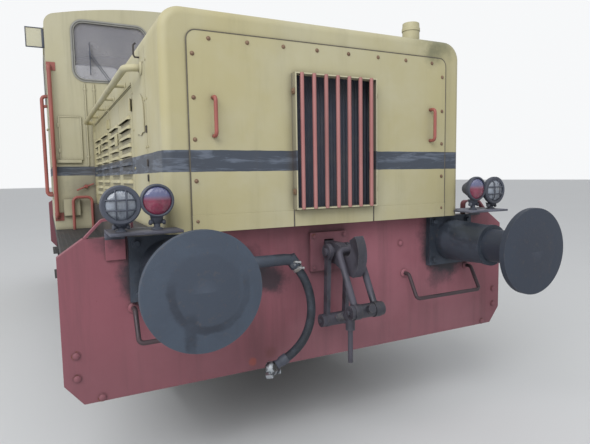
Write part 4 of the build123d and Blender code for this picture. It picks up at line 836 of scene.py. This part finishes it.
class SHUNTER_OT_finishes(Piece):
    """Builds the finishes and paints the frame's own nodes with them"""

    bl_idname = "shunter.finishes"
    bl_label = "Finishes"

    def execute(self, context):
        paint = context.scene.shunter_paint
        sizes = context.scene.shunter_sizes
        # The dirt colours also serve as the painted shade that worn_paint lays in crevices
        dirt, soot, moss = (0.10, 0.085, 0.065), (0.024, 0.026, 0.034), (0.085, 0.095, 0.055)
        beam_dirt, rail_dirt = (0.055, 0.04, 0.04), (0.05, 0.035, 0.03)
        hood_band = (sizes.band_low, sizes.band_high)
        cab_band = (sizes.cab_band_low, sizes.cab_band_high)
        shelf_band = (RAIL + 1.190, RAIL + 1.300)

        # Stains and painted shadows alike are given as their place, the radii where they are full and where
        # they end, their share and their colour
        stub_moss = [((x, HOOD_FACE + y, z), core, fade, share, moss) for x, y, z, core, fade, share in (
            (0.74, 0.04, 2.25, 0.0, 0.17, 0.62),
            (0.67, 0.0, 2.17, 0.0, 0.09, 0.40),
            (0.64, 0.13, 2.29, 0.02, 0.24, 0.55))]
        # Painted shade on the cab front, low down beside the hood, just above the walkway
        cab_corner_shade = [((side * 0.93, None, RAIL + 1.36), 0.08, 0.36, 0.5, (0.11, 0.10, 0.095))
                     for side in SIDES]
        # A painted shadow, with soot, on the lamp shelf's red leg just under the black shelf
        shelf_shadow_and_soot = [((side * 1.09, None, RAIL + 1.19), 0.01, 0.07, 0.7, soot) for side in SIDES]
        beam_soot_and_shelf_shadow = [(side * x, z, core, fade, share, soot) for side in SIDES for x, z, core, fade, share in (
            (BUFFER_X, 1.04, 0.16, 0.25, 0.9),
            (0.83, 0.85, 0.05, 0.13, 0.6),
            # Under the lamp shelf: a painted shadow, with soot, on the beam's top
            (1.10, 1.20, 0.03, 0.11, 0.5))]
        beam_stains_and_shadow = [((x, None, RAIL + z), core, fade, share, mark_colour) for x, z, core, fade, share, mark_colour in (
            *beam_soot_and_shelf_shadow,
            (0.0, 1.02, 0.05, 0.30, 0.4, soot),
            (-0.345, 0.935, 0.05, 0.13, 0.85, soot),
            (-0.47, 0.99, 0.05, 0.15, 0.7, soot),
            (-0.4515, 0.50, 0.022, 0.034, 0.7, (0.30, 0.075, 0.055)),
            (-0.357, 0.53, 0.005, 0.05, 0.5, (0.12, 0.04, 0.035)))]

        worn_paint("hood_paint", paint.cream, paint.cream_faded, dirt, dirt_share=0.20, rust_share=0.22,
                   chips=0.0, band=hood_band, band_colour=paint.band, stains_and_shadows=stub_moss)
        worn_paint("cab_paint", [c * 0.98 for c in paint.cream_faded], (0.50, 0.475, 0.345), dirt,
                   dirt_share=0.24, rust_share=0.24, chips=0.0, band=cab_band, band_colour=paint.band,
                   stains_and_shadows=cab_corner_shade)
        worn_paint("plain_cream", paint.cream, paint.cream_faded, dirt, dirt_share=0.3, rust_share=0.4,
                   chips=0.0)
        worn_paint("beam_paint", paint.beam_red, paint.beam_pink, beam_dirt, dirt_share=0.36,
                   rust_share=0.25, chips=0.9, gloss=0.5, darker_below=(0.5, 0.95), stains_and_shadows=beam_stains_and_shadow)
        worn_paint("rail_paint", paint.rail_red, [c * 1.25 for c in paint.rail_red], rail_dirt,
                   dirt_share=0.4, rust_share=0.6, chips=1.0, gloss=0.38)
        worn_paint("bar_paint", (0.36, 0.135, 0.130), (0.42, 0.19, 0.18), rail_dirt, dirt_share=0.4,
                   rust_share=0.4, chips=0.0, gloss=0.38)
        worn_paint("shelf_paint", paint.beam_red, paint.beam_pink, beam_dirt, dirt_share=0.36,
                   rust_share=0.25, chips=0.0, band=shelf_band, band_colour=(0.066, 0.070, 0.094),
                   gloss=0.5, stains_and_shadows=shelf_shadow_and_soot)
        worn_paint("grille_cream", paint.cream_faded, [c * 1.15 for c in paint.cream_faded], dirt,
                   dirt_share=0.2, rust_share=0.2, chips=0.0, band=hood_band, band_colour=paint.band,
                   side_shade=0.5)
        greasy_metal("greasy", (0.088, 0.084, 0.108), (0.030, 0.032, 0.040), 0.75)
        greasy_metal("buffer_face", [c * 1.38 for c in paint.grease], (0.036, 0.042, 0.060), 0.85,
                     centres=[(side * BUFFER_X, None, RAIL + BUFFER_HIGH) for side in SIDES], radius=0.13)
        greasy_metal("pipe_black", (0.062, 0.076, 0.102), (0.028, 0.034, 0.046), 0.6, edges=0.0)
        greasy_metal("rail_black", (0.078, 0.054, 0.062), (0.034, 0.030, 0.036), 0.6, edges=0.0)
        greasy_metal("rusty_bolt", (0.25, 0.165, 0.11), (0.13, 0.07, 0.045), 0.6, edges=0.0)
        running_gear_black("frame_black", 0.45)
        running_gear_black("walk_black", 0.16, tread=True)
        for name, axle_y in zip(("front_wheels", "rear_wheels"), AXLES):
            wheel_steel(name, (axle_y, AXLE_Z))
        bare_metal("clamp_steel", (0.62, 0.63, 0.64), 0.22)
        bare_metal("cast_alloy", (0.42, 0.45, 0.48), 0.26, tarnish=(0.020, 0.022, 0.028))
        rubber("hose_rubber", (0.012, 0.016, 0.024), 0.5, ribs=60)
        rubber("seal_rubber", (0.30, 0.30, 0.275), 0.7)
        rubber("seal_filler", (0.13, 0.13, 0.13), 0.5)
        rubber("dark_seams_and_gap_shadow", (0.105, 0.093, 0.072), 0.7)
        window_glass("window", (0.42, 0.42, 0.48), 0.68, dirt_share=0.3)
        window_glass("deflector", (0.55, 0.52, 0.32), 0.45, dirt_share=0.5)
        lens_glass("clear_lens", (0.32, 0.36, 0.43))
        # The red lens's upper half carries a painted sky reflection
        lens_glass("red_lens", (0.30, 0.045, 0.095), ribs=60, upper=(0.10, 0.11, 0.24), split=RAIL + 1.368)
        machine_grey("lamp_black", (0.066, 0.075, 0.102), oil=0.35, edges=0.0)
        machine_grey("desk_grey", (0.19, 0.21, 0.20), oil=0.25)
        machine_grey("engine_grey", (0.13, 0.15, 0.14), oil=0.7)
        machine_grey("dial", (0.62, 0.62, 0.58), oil=0.1)
        finned_core("core")
        floor_boards("planks")
        seat_vinyl("vinyl")

        wearing = {
            "hood_paint": ["hood_shell", "front_panel", *[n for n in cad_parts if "hood_door" in n]],
            "cab_paint": ["cab_front_wall", "cab_rear_wall", "cab_sides", "cab_door_left",
                          "cab_door_right", "cab_roof", "cab_fittings"],
            "plain_cream": ["hood_rails", "exhaust_stub"],
            "grille_cream": ["radiator_grille"],
            "beam_paint": ["end_beams", "corner_hoops"],
            "rail_paint": ["grab_rails"],
            "greasy": ["draw_hooks", "screw_couplings"],
            "pipe_black": ["brake_cocks", "buffer_casings"],
            "rail_black": ["shunter_rails"],
            "shelf_paint": ["lamp_shelves"],
            "buffer_face": ["buffer_heads"],
            "frame_black": ["main_frame", "axleboxes", "leaf_springs", "brake_gear", "fuel_tank",
                            "air_reservoir", "sandboxes"],
            "walk_black": ["walkways", "cab_steps"],
            "front_wheels": ["wheelset_front"],
            "rear_wheels": ["wheelset_rear"],
            "hose_rubber": ["brake_hose"],
            "cast_alloy": ["hose_coupling"],
            "seal_rubber": ["window_seals"],
            "window": ["cab_glass", "door_glass_left", "door_glass_right"],
            "deflector": ["wind_deflectors"],
            "lamp_black": ["white_lamps", "red_lamps"],
            "desk_grey": ["driver_desk", "driver_seat"],
            "vinyl": ["seat_cushions"],
            "engine_grey": ["engine_block"],
            "core": ["radiator_core"],
            "planks": ["cab_floor"],
        }
        for name, nodes in wearing.items():
            for node in nodes:
                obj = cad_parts[node]
                obj.data.materials.clear()
                obj.data.materials.append(FINISHES[name])
        return {"FINISHED"}


class SHUNTER_OT_hose(Piece):
    """Brake hose with its clamp at the cock and the cast coupling head at its free end"""

    bl_idname = "shunter.hose"
    bl_label = "Brake hose"

    def execute(self, context):
        radius = context.scene.shunter_sizes.hose
        corners = [Vector(on_beam(*place)) for place in (
            (-0.250, 0.118, 1.003), (-0.213, 0.130, 0.944), (-0.186, 0.142, 0.863), (-0.181, 0.150, 0.773),
            (-0.200, 0.156, 0.691), (-0.240, 0.158, 0.622), (-0.295, 0.154, 0.570), (-0.352, 0.146, 0.537))]
        rounding, steps = 0.45, 6
        route = [corners[0]]
        for before, corner, after in zip(corners, corners[1:], corners[2:]):
            start = corner + (before - corner) * rounding
            end = corner + (after - corner) * rounding
            for step in range(steps + 1):
                t = step / steps
                route.append(start * (1 - t) ** 2 + corner * 2 * t * (1 - t) + end * t ** 2)
        route.append(corners[-1])
        hose = fitted(line(route, radius, 24), "brake_hose_tube", "hose_rubber",
                      instead=["brake_hose"], angle=60)

        first = (route[1] - route[0]).normalized()
        last = (route[-1] - route[-2]).normalized()
        wide, thick, screw_way = 0.018, 0.0035, Vector((0.01, -1, 0.3)).normalized()
        bands = []
        for along, grip in ((-0.030, 0.0275), (0.004, radius + 0.001)):
            at = route[0] + first * along
            bands.append(ring([(grip, 0), (grip + thick, 0), (grip + thick, wide), (grip, wide)], 32,
                              towards(at, first)))
            bands.append(turned([(0.005, -0.018), (0.005, 0.016), (0.0075, 0.016), (0.0075, 0.021),
                                 (0.006, 0.023)], 8,
                                towards(at + first * (wide / 2) + screw_way * (grip + 0.008),
                                        (1, 0.1, -0.2))))
        fitted(gathered(bands), "hose_clamp", "clamp_steel")

        sleeve = radius + 0.004
        neck = turned([(radius + 0.0015, -0.03), (sleeve, -0.028), (sleeve, 0.002), (0.0255, 0.006),
                       (0.0215, 0.014), (0.0215, 0.026), (0.027, 0.036)], 24, towards(route[-1], last))
        neck = fitted(neck, "hose_neck", "lamp_black")
        face = towards(route[-1] + last * 0.062, (0.62, -0.74, 0.28))
        body = ring([(0.016, -0.020), (0.032, -0.020), (0.036, -0.014), (0.036, 0.006), (0.030, 0.014),
                     (0.025, 0.019), (0.016, 0.019)], 32, face)
        gasket = ring([(0.0120, 0.010), (0.0165, 0.010), (0.0200, 0.0215), (0.0150, 0.0215)], 32, face)
        claws = []
        for turn, reach in ((205, 0.030), (318, 0.024)):
            claw = slab((-0.004, -0.012, -0.016), (reach, 0.012, 0.004), 0.004)
            hook = slab((reach - 0.010, -0.012, -0.002), (reach, 0.012, 0.022), 0.003)
            place = Matrix.Rotation(math.radians(turn), 4, "Z") @ Matrix.Translation((0.030, 0, 0))
            claws.append(gathered([claw, hook], face @ place))
        head = fitted(gathered([body, *claws]), "hose_coupling_head", "cast_alloy",
                      instead=["hose_coupling"])
        gasket = fitted(gasket, "hose_gasket", "seal_filler", angle=60)
        return {"FINISHED"}


class SHUNTER_OT_hood_front(Piece):
    """Bolts, sheet joints and grille bars on the hood's front, and the exhaust stub's collar"""

    bl_idname = "shunter.hood_front"
    bl_label = "Hood front"

    def execute(self, context):
        bolt = context.scene.shunter_sizes.bolt
        places = [(-0.662 + 0.189 * n, 2.090) for n in range(8)]
        places += [(side * 0.740, z) for side in SIDES for z in (2.017, 1.822, 1.633, 1.443, 1.256)]
        heads = copies(dome_bolt(bolt), [towards(on_hood(x, 0, z), FORWARD) for x, z in places])
        fitted(heads, "panel_bolts", "rusty_bolt")

        grille_low, grille_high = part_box("radiator_grille")
        bottom, top = near("front_panel").z, grille_low.z - 0.006
        sheet, buried = HOOD_FACE - 0.0022, HOOD_FACE + 0.001
        sheets = [slab((left, sheet, bottom), (right, buried, top), 0.001, 1)
                  for left, right in ((-0.765, -0.2415), (-0.2385, 0.2485), (0.2515, 0.765))]
        fitted(gathered(sheets), "lower_sheets", "hood_paint")
        seams = [slab((x - 0.0042, sheet - 0.0006, bottom), (x + 0.0042, buried, top), 0.0005, 1)
                 for x in (-0.240, 0.250)]
        half, high, bend = far("front_panel").x, far("front_panel").z, 0.045
        outline = [(-half, bottom), (-half, high - bend)]
        for step in range(1, 7):
            angle = math.radians(15 * step)
            outline.append((-half + bend * (1 - math.cos(angle)), high - bend * (1 - math.sin(angle))))
        outline += [(-x, z) for x, z in reversed(outline)]
        # Painted shadow: a dark tube round the front panel's outline stands in for the shade in the gap
        # between panel and hood
        seams.append(line([(x * 1.0015, HOOD_FACE + 0.0008, z + 0.001) for x, z in outline], 0.0028, 8))
        fitted(gathered(seams), "panel_joints", "dark_seams_and_gap_shadow", angle=60)

        pitch, bar_y, inset = 0.069, grille_low.y + 0.010, 0.001
        bars = [line([(pitch * n, bar_y, grille_low.z + inset), (pitch * n, bar_y, grille_high.z - inset)],
                     0.0105, 16) for n in range(-3, 4)]
        fitted(gathered(bars), "grille_bars", "bar_paint", angle=60)
        clips = []
        for side in SIDES:
            x = side * (grille_high.x + 0.003)
            for z in (grille_low.z + 0.09, grille_high.z - 0.09):
                clips.append(slab((x - 0.004, HOOD_FACE - 0.040, z - 0.014),
                                  (x + 0.004, HOOD_FACE - 0.012, z + 0.014)))
                clips.append(turned([(0.006, 0), (0.006, 0.006), (0.004, 0.008)], 8,
                                    towards((x, HOOD_FACE - 0.026, z), (side, 0, 0))))
        fitted(gathered(clips), "grille_clips", "rusty_bolt")

        pipe_low, pipe_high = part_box("exhaust_stub")
        x, y, _ = (pipe_low + pipe_high) / 2
        outer = 0.0535
        collar = ring([(0.0456, -0.014), (outer, -0.014), (outer, 0.002), (0.0505, 0.005), (0.0490, 0.032),
                       (0.0456, 0.034)], 40, Matrix.Translation((x, y, pipe_high.z)))
        clip = ring([(0.0495, 0), (outer, 0), (outer, 0.012), (0.0495, 0.012)], 40,
                    Matrix.Translation((x, y, pipe_high.z - 0.078)))
        fitted(gathered([collar, clip]), "exhaust_collar", "plain_cream")
        return {"FINISHED"}


class SHUNTER_OT_beams(Piece):
    """Bolts on the end beams, buffer bases and hook guides, and feet of the rails below the buffers"""

    bl_idname = "shunter.beams"
    bl_label = "End beams"

    def execute(self, context):
        def fastened(pattern, spots, out, name, finish):
            """Copies a pattern to (x, height) spots on both end beams."""
            places = [towards(on_beam(x, out, z), FORWARD) for x, z in spots]
            fitted(copies(pattern, both_ends(places)), name, finish)

        edge_bolts = [(side * x, z) for side in SIDES
                      for x, z in ((1.285, 0.685), (1.285, 0.581), (1.186, 0.475), (0.504, 1.051))]
        fastened(dome_bolt(context.scene.shunter_sizes.beam_bolt), edge_bolts, 0, "beam_bolts",
                 "beam_paint")
        base_bolts = [(side * (BUFFER_X + dx), BUFFER_HIGH + dz) for side in SIDES
                      for dx in (-0.135, 0.135) for dz in (-0.118, 0.118)]
        fastened(hex_bolt(0.017), base_bolts, 0.030, "buffer_bolts", "pipe_black")
        rail_feet = [(side * (BUFFER_X + dx), 0.868) for side in SIDES for dx in (-0.341, 0.157)]
        fastened(turned([(0.026, 0), (0.026, 0.004), (0.016, 0.012)], 16), rail_feet, 0,
                 "shunter_rail_feet", "beam_paint")
        guide = [(x, BUFFER_HIGH + dz) for x in (-0.094, 0.094) for dz in (-0.084, 0.084)]
        fastened(hex_bolt(0.010), guide, 0.024, "guide_bolts", "beam_paint")
        return {"FINISHED"}


class SHUNTER_OT_lamps(Piece):
    """Lenses, guards, rims and stems of the white and red lamps"""

    bl_idname = "shunter.lamps"
    bl_label = "Lamps"

    def execute(self, context):
        shelf = far("lamp_shelves").z
        for name, x, z, radius, rim in (("white", 1.088, RAIL + 1.351, 0.080, 0.015),
                                        ("red", 0.938, RAIL + 1.365, 0.069, 0.006)):
            front = near(f"{name}_lamps").y
            face = towards((x, front, z), FORWARD)
            lens = radius - rim
            glass = turned([(lens, -0.012), (lens, -0.004), (lens * 0.93, 0.0005), (lens * 0.7, 0.0075),
                            (lens * 0.4, 0.0115), (lens * 0.1, 0.013)], 32, face)
            finish = "clear_lens" if name == "white" else "red_lens"
            fitted(four_corners(glass), f"{name}_lenses", finish, angle=60)
            parts = [ring([(lens - 0.002, -0.002), (lens - 0.001, 0.005), (radius - 0.003, 0.006),
                           (radius + 0.003, 0.002), (radius + 0.003, -0.014), (radius - 0.001, -0.016)],
                          40, face)]
            if name == "white":
                parts += lens_guard(x, front, z, lens)
            stem_y = front + 0.030
            drop = z - radius - shelf
            parts.append(turned([(0.024, -0.001), (0.024, 0.006), (0.014, 0.010), (0.014, drop * 0.45),
                                 (0.026, drop * 0.75), (0.030, drop + 0.004)], 20,
                                Matrix.Translation((x, stem_y, shelf))))
            for side in SIDES:
                hub = (x + side * 0.012, stem_y - 0.002, shelf + drop * 0.5)
                parts.append(turned([(0.005, 0), (0.006, 0.010), (0.012, 0.014), (0.012, 0.022),
                                     (0.004, 0.026)], 10, towards(hub, (side, -0.35, 0.25))))
            fitted(four_corners(gathered(parts)), f"{name}_lamp_mounts", "lamp_black")
        return {"FINISHED"}


class SHUNTER_OT_coupling(Piece):
    """Screw threads and nuts of the couplings"""

    bl_idname = "shunter.coupling"
    bl_label = "Coupling"

    def execute(self, context):
        low, high = Vector(on_beam(0, 0.090, 0.690)), Vector(on_beam(0, 0.370, 0.800))
        way, length = (high - low).normalized(), (high - low).length
        radius, pitch, steps, clear = 0.0205, 0.0075, 10, 0.036
        made = []
        for start, end in ((clear, length / 2 - clear), (length / 2 + clear, length - clear)):
            points = []
            for step in range(int((end - start) / pitch) * steps):
                turn = step / steps
                angle = turn * 2 * math.pi
                points.append((radius * math.cos(angle), radius * math.sin(angle), start + turn * pitch))
            made.append(gathered([line(points, 0.0026, 4)], towards(low, way)))
        for at in (low, high):
            for side in SIDES:
                made.append(turned([(0.012, 0), (0.012, 0.012), (0.009, 0.014)], 6,
                                   towards(at + Vector((side * 0.0925, 0, 0)), (side, 0, 0))))
        made.append(turned([(0.013, 0), (0.013, 0.010), (0.010, 0.012)], 6,
                           towards(on_beam(0.0785, 0.11, 1.06), (1, 0, 0))))
        threads = copies(gathered(made), both_ends([HERE]))
        fitted(threads, "coupling_thread", "greasy")
        return {"FINISHED"}


class SHUNTER_OT_hood_sides(Piece):
    """Lifting hooks, catches, bolts and rail flanges on the hood's sides"""

    bl_idname = "shunter.hood_sides"
    bl_label = "Hood sides"

    def execute(self, context):
        y = BEAM_FACE + 0.420
        parts = [line([(-HOOD_SIDE - out, y, RAIL + z) for out, z in (
            (0, 2.094), (0.022, 2.094), (0.028, 2.105), (0.028, 2.155), (0.016, 2.167))], 0.005, 8)]
        for z in (1.462, 1.539, 1.710):
            parts.append(slab((-HOOD_SIDE - 0.007, BEAM_FACE + 0.276, RAIL + z - 0.018),
                              (-HOOD_SIDE + 0.001, BEAM_FACE + 0.292, RAIL + z + 0.018), 0.002))
        fitted(both_sides(gathered(parts)), "hood_catches", "frame_black")

        spots = [(BEAM_FACE + 0.284 + dy, RAIL + z) for dy in (-0.030, 0.030)
                 for z in (1.30, 1.62, 1.86, 2.05)]
        spots += [(BEAM_FACE + post, RAIL + z) for post in (0.690, 3.125) for z in (1.30, 1.52, 1.74, 1.95)]
        heads = copies(dome_bolt(0.007), on_sides(spots, HOOD_SIDE))
        fitted(heads, "hood_side_bolts", "plain_cream")

        rail_start, rail_end, post_gap = 0.375, 3.200, 0.565
        end_flange = [(0.036, -0.001), (0.036, 0.004), (0.024, 0.012)]
        post_flange = [(0.024, -0.001), (0.024, 0.004), (0.013, 0.010)]
        flanges = [(end_flange, 20, along) for along in (rail_start, rail_end)]
        flanges += [(post_flange, 16, rail_start + post_gap * n) for n in range(1, 5)]
        flanges = [turned(stations, sides, towards((HOOD_SIDE, BEAM_FACE + along, RAIL + 2.030), (1, 0, 0)))
                   for stations, sides, along in flanges]
        fitted(both_sides(gathered(flanges)), "rail_flanges", "plain_cream")
        return {"FINISHED"}


class SHUNTER_OT_cab_outside(Piece):
    """Conduits, cover frame, lever, window fillers, wipers, deflector frames and gutters of the cab"""

    bl_idname = "shunter.cab_outside"
    bl_label = "Cab outside"

    def execute(self, context):
        conduits = []
        for x in (-0.939, -0.851):
            conduits.append(line([on_cab(x, 0.007, 2.455), on_cab(x, 0.007, 1.60)], 0.007, 10))
            for z in (2.40, 2.05, 1.70):
                conduits.append(slab(on_cab(x - 0.016, 0.009, z - 0.010),
                                     on_cab(x + 0.016, -0.001, z + 0.010), 0.002))
        fitted(gathered(conduits), "cab_conduits", "cab_paint")

        # The level strips are a little longer and prouder, so no edges of the frame coincide
        cover = [slab(on_cab(x0, proud, z0), on_cab(x1, proud - 0.006, z1), 0.0015)
                 for x0, z0, x1, z1, proud in (
                     (-1.211, 1.665, -1.199, 2.112, 0.015), (-1.003, 1.665, -0.991, 2.112, 0.015),
                     (-1.212, 2.101, -0.990, 2.113, 0.0155), (-1.212, 1.664, -0.990, 1.676, 0.0155))]
        cover += [slab(on_cab(-1.222, 0.018, z - 0.022), on_cab(-1.204, -0.001, z + 0.022), 0.003)
                  for z in (1.76, 2.02)]
        fitted(gathered(cover), "cover_frame", "cab_paint")

        x, z = -0.980, 1.385
        lever = [
            turned([(0.020, 0), (0.020, 0.035), (0.014, 0.045)], 16, towards(on_cab(x, -0.001, z), FORWARD)),
            line([on_cab(x, 0.038, z), on_cab(-1.060, 0.048, 1.352), on_cab(-1.075, 0.048, 1.346)],
                 0.009, 10),
            line([on_cab(x, 0.030, z), on_cab(-0.905, 0.030, 1.412)], 0.008, 10),
        ]
        fitted(gathered(lever), "cab_lever", "rail_paint")

        gap, thick, bend = 0.0085, 0.0055, 0.110
        pane = rounded_outline((0.287, RAIL + 2.490), (1.034, RAIL + 3.090), bend)
        side_pane = rounded_outline((CAB_FACE + 1.010, RAIL + 2.440), (CAB_FACE + 1.790, RAIL + 2.940), bend)
        fillers = []
        for side in SIDES:
            for y in (CAB_FACE - gap, CAB_BACK + gap):
                fillers.append(line([(side * x, y, z) for x, z in pane], thick, 8, closed=True))
            x = side * (CAB_SIDE + gap)
            fillers.append(line([(x, y, z) for y, z in side_pane], thick, 8, closed=True))
        fitted(gathered(fillers), "seal_fillers", "seal_filler", angle=60)

        blade = [
            slab(on_cab(-0.878, 0.026, 2.545), on_cab(-0.870, 0.008, 2.880), 0.0015),
            slab(on_cab(-0.882, 0.032, 2.70), on_cab(-0.866, 0.024, 2.79), 0.002),
            line([on_cab(-0.878, 0.032, 2.745), on_cab(-0.683, 0.032, 2.470)], 0.0035, 8),
            line([on_cab(-0.862, 0.032, 2.758), on_cab(-0.667, 0.032, 2.480)], 0.0035, 8),
            turned([(0.020, 0), (0.020, 0.030), (0.014, 0.036)], 16,
                   towards(on_cab(-0.675, -0.001, 2.462), FORWARD)),
        ]
        fitted(both_sides(gathered(blade)), "wipers", "lamp_black")

        low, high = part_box("wind_deflectors")
        rim, lap = 0.007, 0.002
        x0, x1 = CAB_SIDE + 0.004, high.x
        y0, y1 = low.y - 0.004, high.y + 0.004
        edges = [
            slab((x1 - rim, y0, low.z), (x1 + lap, y1, high.z)),
            slab((x0, y0, high.z - rim), (x1, y1, high.z + lap)),
            slab((x0, y0, low.z - lap), (x1, y1, low.z + rim)),
            slab((x0 - 0.004, y0 - 0.016, low.z + lap), (x0 + 0.020, y1 + 0.016, high.z - lap), 0.004),
        ]
        fitted(both_sides(gathered(edges)), "deflector_frames", "lamp_black")

        x, eave = CAB_SIDE + 0.004, RAIL + 2.985
        gutter = line([(x, CAB_FACE + 0.02, eave), (x, CAB_BACK - 0.02, eave)], 0.007, 10)
        fitted(both_sides(gutter), "roof_gutters", "plain_cream")
        return {"FINISHED"}


class SHUNTER_OT_cab_inside(Piece):
    """Seat pads, desk dials and control levers in the cab"""

    bl_idname = "shunter.cab_inside"
    bl_label = "Cab inside"

    def execute(self, context):
        low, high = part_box("seat_cushions")
        pads, deep = [], 0.075
        for a, b in (((low.x, low.y, low.z), (high.x, high.y - 0.002, low.z + deep)),
                     ((low.x, high.y - deep, low.z + deep), (high.x, high.y, high.z))):
            fresh()
            a, b = Vector(a), Vector(b)
            bpy.ops.mesh.primitive_cube_add(size=1, location=(a + b) / 2, scale=(b - a) * 0.93)
            settle()
            bpy.ops.object.mode_set(mode="EDIT")
            bpy.ops.mesh.subdivide(number_cuts=7, smoothness=0.55)
            bpy.ops.object.mode_set(mode="OBJECT")
            pads.append(bpy.context.object)
        pad = gathered(pads)
        pad.modifiers.new("soft", "SUBSURF").levels = 2
        pad.modifiers["soft"].render_levels = 2
        bpy.ops.object.modifier_apply(modifier="soft")
        for vertex in pad.data.vertices:
            for k in range(3):
                vertex.co[k] = min(max(vertex.co[k], low[k]), high[k])
        fitted(pad, "seat_pads", "vinyl", instead=["seat_cushions"], angle=60)

        desk = near("driver_desk")

        def desk_at(x, behind, above):
            """A point behind and above the desk's lowest front edge, with x from the middle."""
            return Vector((x, desk.y + behind, desk.z + above))

        dials, controls = [], []
        for n, x in enumerate((-0.30, -0.15, 0.0, 0.15, 0.30)):
            face = towards(desk_at(x, 0.165, 0.872), (0, 0.85, 0.53))
            controls.append(ring([(0.048, -0.002), (0.056, -0.002), (0.056, 0.012), (0.050, 0.014)], 28,
                                 face))
            dials.append(turned([(0.050, -0.001), (0.050, 0.004)], 28, face))
            hand = slab((-0.002, -0.004, 0.004), (0.002, 0.036, 0.007), 0.0008, 1)
            controls.append(gathered([hand], face @ Matrix.Rotation(0.7 * n - 1.2, 4, "Z")))
        for x, lean in ((-0.40, 0.25), (0.40, 0.15)):
            base = desk_at(x, 0.255, 0.77)
            top = base + Vector((0, lean * 0.2, 0.15))
            controls.append(line([base, top], 0.008, 10))
            controls.append(turned([(0.010, 0), (0.019, 0.008), (0.021, 0.022), (0.012, 0.036)], 16,
                                   towards(top, top - base)))
        fitted(gathered(controls), "desk_controls", "lamp_black")
        fitted(gathered(dials), "dial_faces", "dial")
        return {"FINISHED"}


class SHUNTER_OT_running_gear(Piece):
    """Cover bolts, oil caps and spring clips under the frame"""

    bl_idname = "shunter.running_gear"
    bl_label = "Running gear"

    def execute(self, context):
        box_x, circle = 1.005, 0.099
        angles = [math.radians(60 * n + 30) for n in range(6)]
        spots = [(y + circle * math.cos(angle), AXLE_Z + circle * math.sin(angle))
                 for y in AXLES for angle in angles]
        heads = copies(hex_bolt(0.010), on_sides(spots, box_x + 0.011))
        fitted(heads, "axlebox_bolts", "frame_black")
        cap = turned([(0.028, 0), (0.028, 0.010), (0.018, 0.014)], 16)
        caps = copies(cap, on_sides([(y, AXLE_Z) for y in AXLES], box_x + 0.022))
        fitted(caps, "oil_caps", "frame_black")
        spring_z = AXLE_Z + 0.2655
        clips = [slab((0.921, y + offset - 0.014, spring_z - 0.060),
                      (1.009, y + offset + 0.014, spring_z + 0.016), 0.003)
                 for y in AXLES for offset in (-0.27, 0.27)]
        fitted(both_sides(gathered(clips)), "spring_clips", "frame_black")
        return {"FINISHED"}


class SHUNTER_OT_edges(Piece):
    """Rounds the edges of the frame's plates with live modifiers"""

    bl_idname = "shunter.edges"
    bl_label = "Plate edges"

    def execute(self, context):
        edge = context.scene.shunter_sizes.edge
        for node in ("end_beams", "walkways", "cab_steps", "lamp_shelves", "axleboxes", "front_panel",
                     "fuel_tank", "sandboxes", "driver_desk", "cab_fittings"):
            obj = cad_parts[node]
            weld = obj.modifiers.new("weld", "WELD")
            weld.merge_threshold = 0.00002
            bevel = obj.modifiers.new("bevel", "BEVEL")
            bevel.width = edge
            bevel.segments = 2
            bevel.limit_method = "ANGLE"
            bevel.angle_limit = math.radians(40)
        return {"FINISHED"}


class SHUNTER_PT_panel(bpy.types.Panel):
    """The shunter's pieces in the sidebar"""

    bl_idname = "SHUNTER_PT_panel"
    bl_label = "Diesel shunter"
    bl_space_type = "VIEW_3D"
    bl_region_type = "UI"
    bl_category = "Shunter"

    def draw(self, context):
        for group in (context.scene.shunter_paint, context.scene.shunter_sizes, context.scene.shunter_stage):
            box = self.layout.box()
            for key in group.__annotations__:
                box.prop(group, key)
        for operator in OPERATORS:
            self.layout.operator(operator.bl_idname)


OPERATORS = (
    SHUNTER_OT_stage,
    SHUNTER_OT_finishes,
    SHUNTER_OT_hose,
    SHUNTER_OT_hood_front,
    SHUNTER_OT_beams,
    SHUNTER_OT_lamps,
    SHUNTER_OT_coupling,
    SHUNTER_OT_hood_sides,
    SHUNTER_OT_cab_outside,
    SHUNTER_OT_cab_inside,
    SHUNTER_OT_running_gear,
    SHUNTER_OT_edges,
)
GROUPS = {
    "shunter_paint": ShunterPaint,
    "shunter_sizes": ShunterSizes,
    "shunter_stage": ShunterStage,
}


def register():
    """Registers the settings, the operators and the panel."""
    for name, group in GROUPS.items():
        bpy.utils.register_class(group)
        setattr(bpy.types.Scene, name, bpy.props.PointerProperty(type=group))
    for operator in OPERATORS:
        bpy.utils.register_class(operator)
    bpy.utils.register_class(SHUNTER_PT_panel)


def unregister():
    """Takes them out again."""
    bpy.utils.unregister_class(SHUNTER_PT_panel)
    for operator in reversed(OPERATORS):
        bpy.utils.unregister_class(operator)
    for name, group in GROUPS.items():
        delattr(bpy.types.Scene, name)
        bpy.utils.unregister_class(group)


def main():
    """Runs the operators in order."""
    register()
    bpy.ops.shunter.stage()
    bpy.ops.shunter.finishes()
    bpy.ops.shunter.hose()
    bpy.ops.shunter.hood_front()
    bpy.ops.shunter.beams()
    bpy.ops.shunter.lamps()
    bpy.ops.shunter.coupling()
    bpy.ops.shunter.hood_sides()
    bpy.ops.shunter.cab_outside()
    bpy.ops.shunter.cab_inside()
    bpy.ops.shunter.running_gear()
    bpy.ops.shunter.edges()


if __name__ == "__main__":
    main()
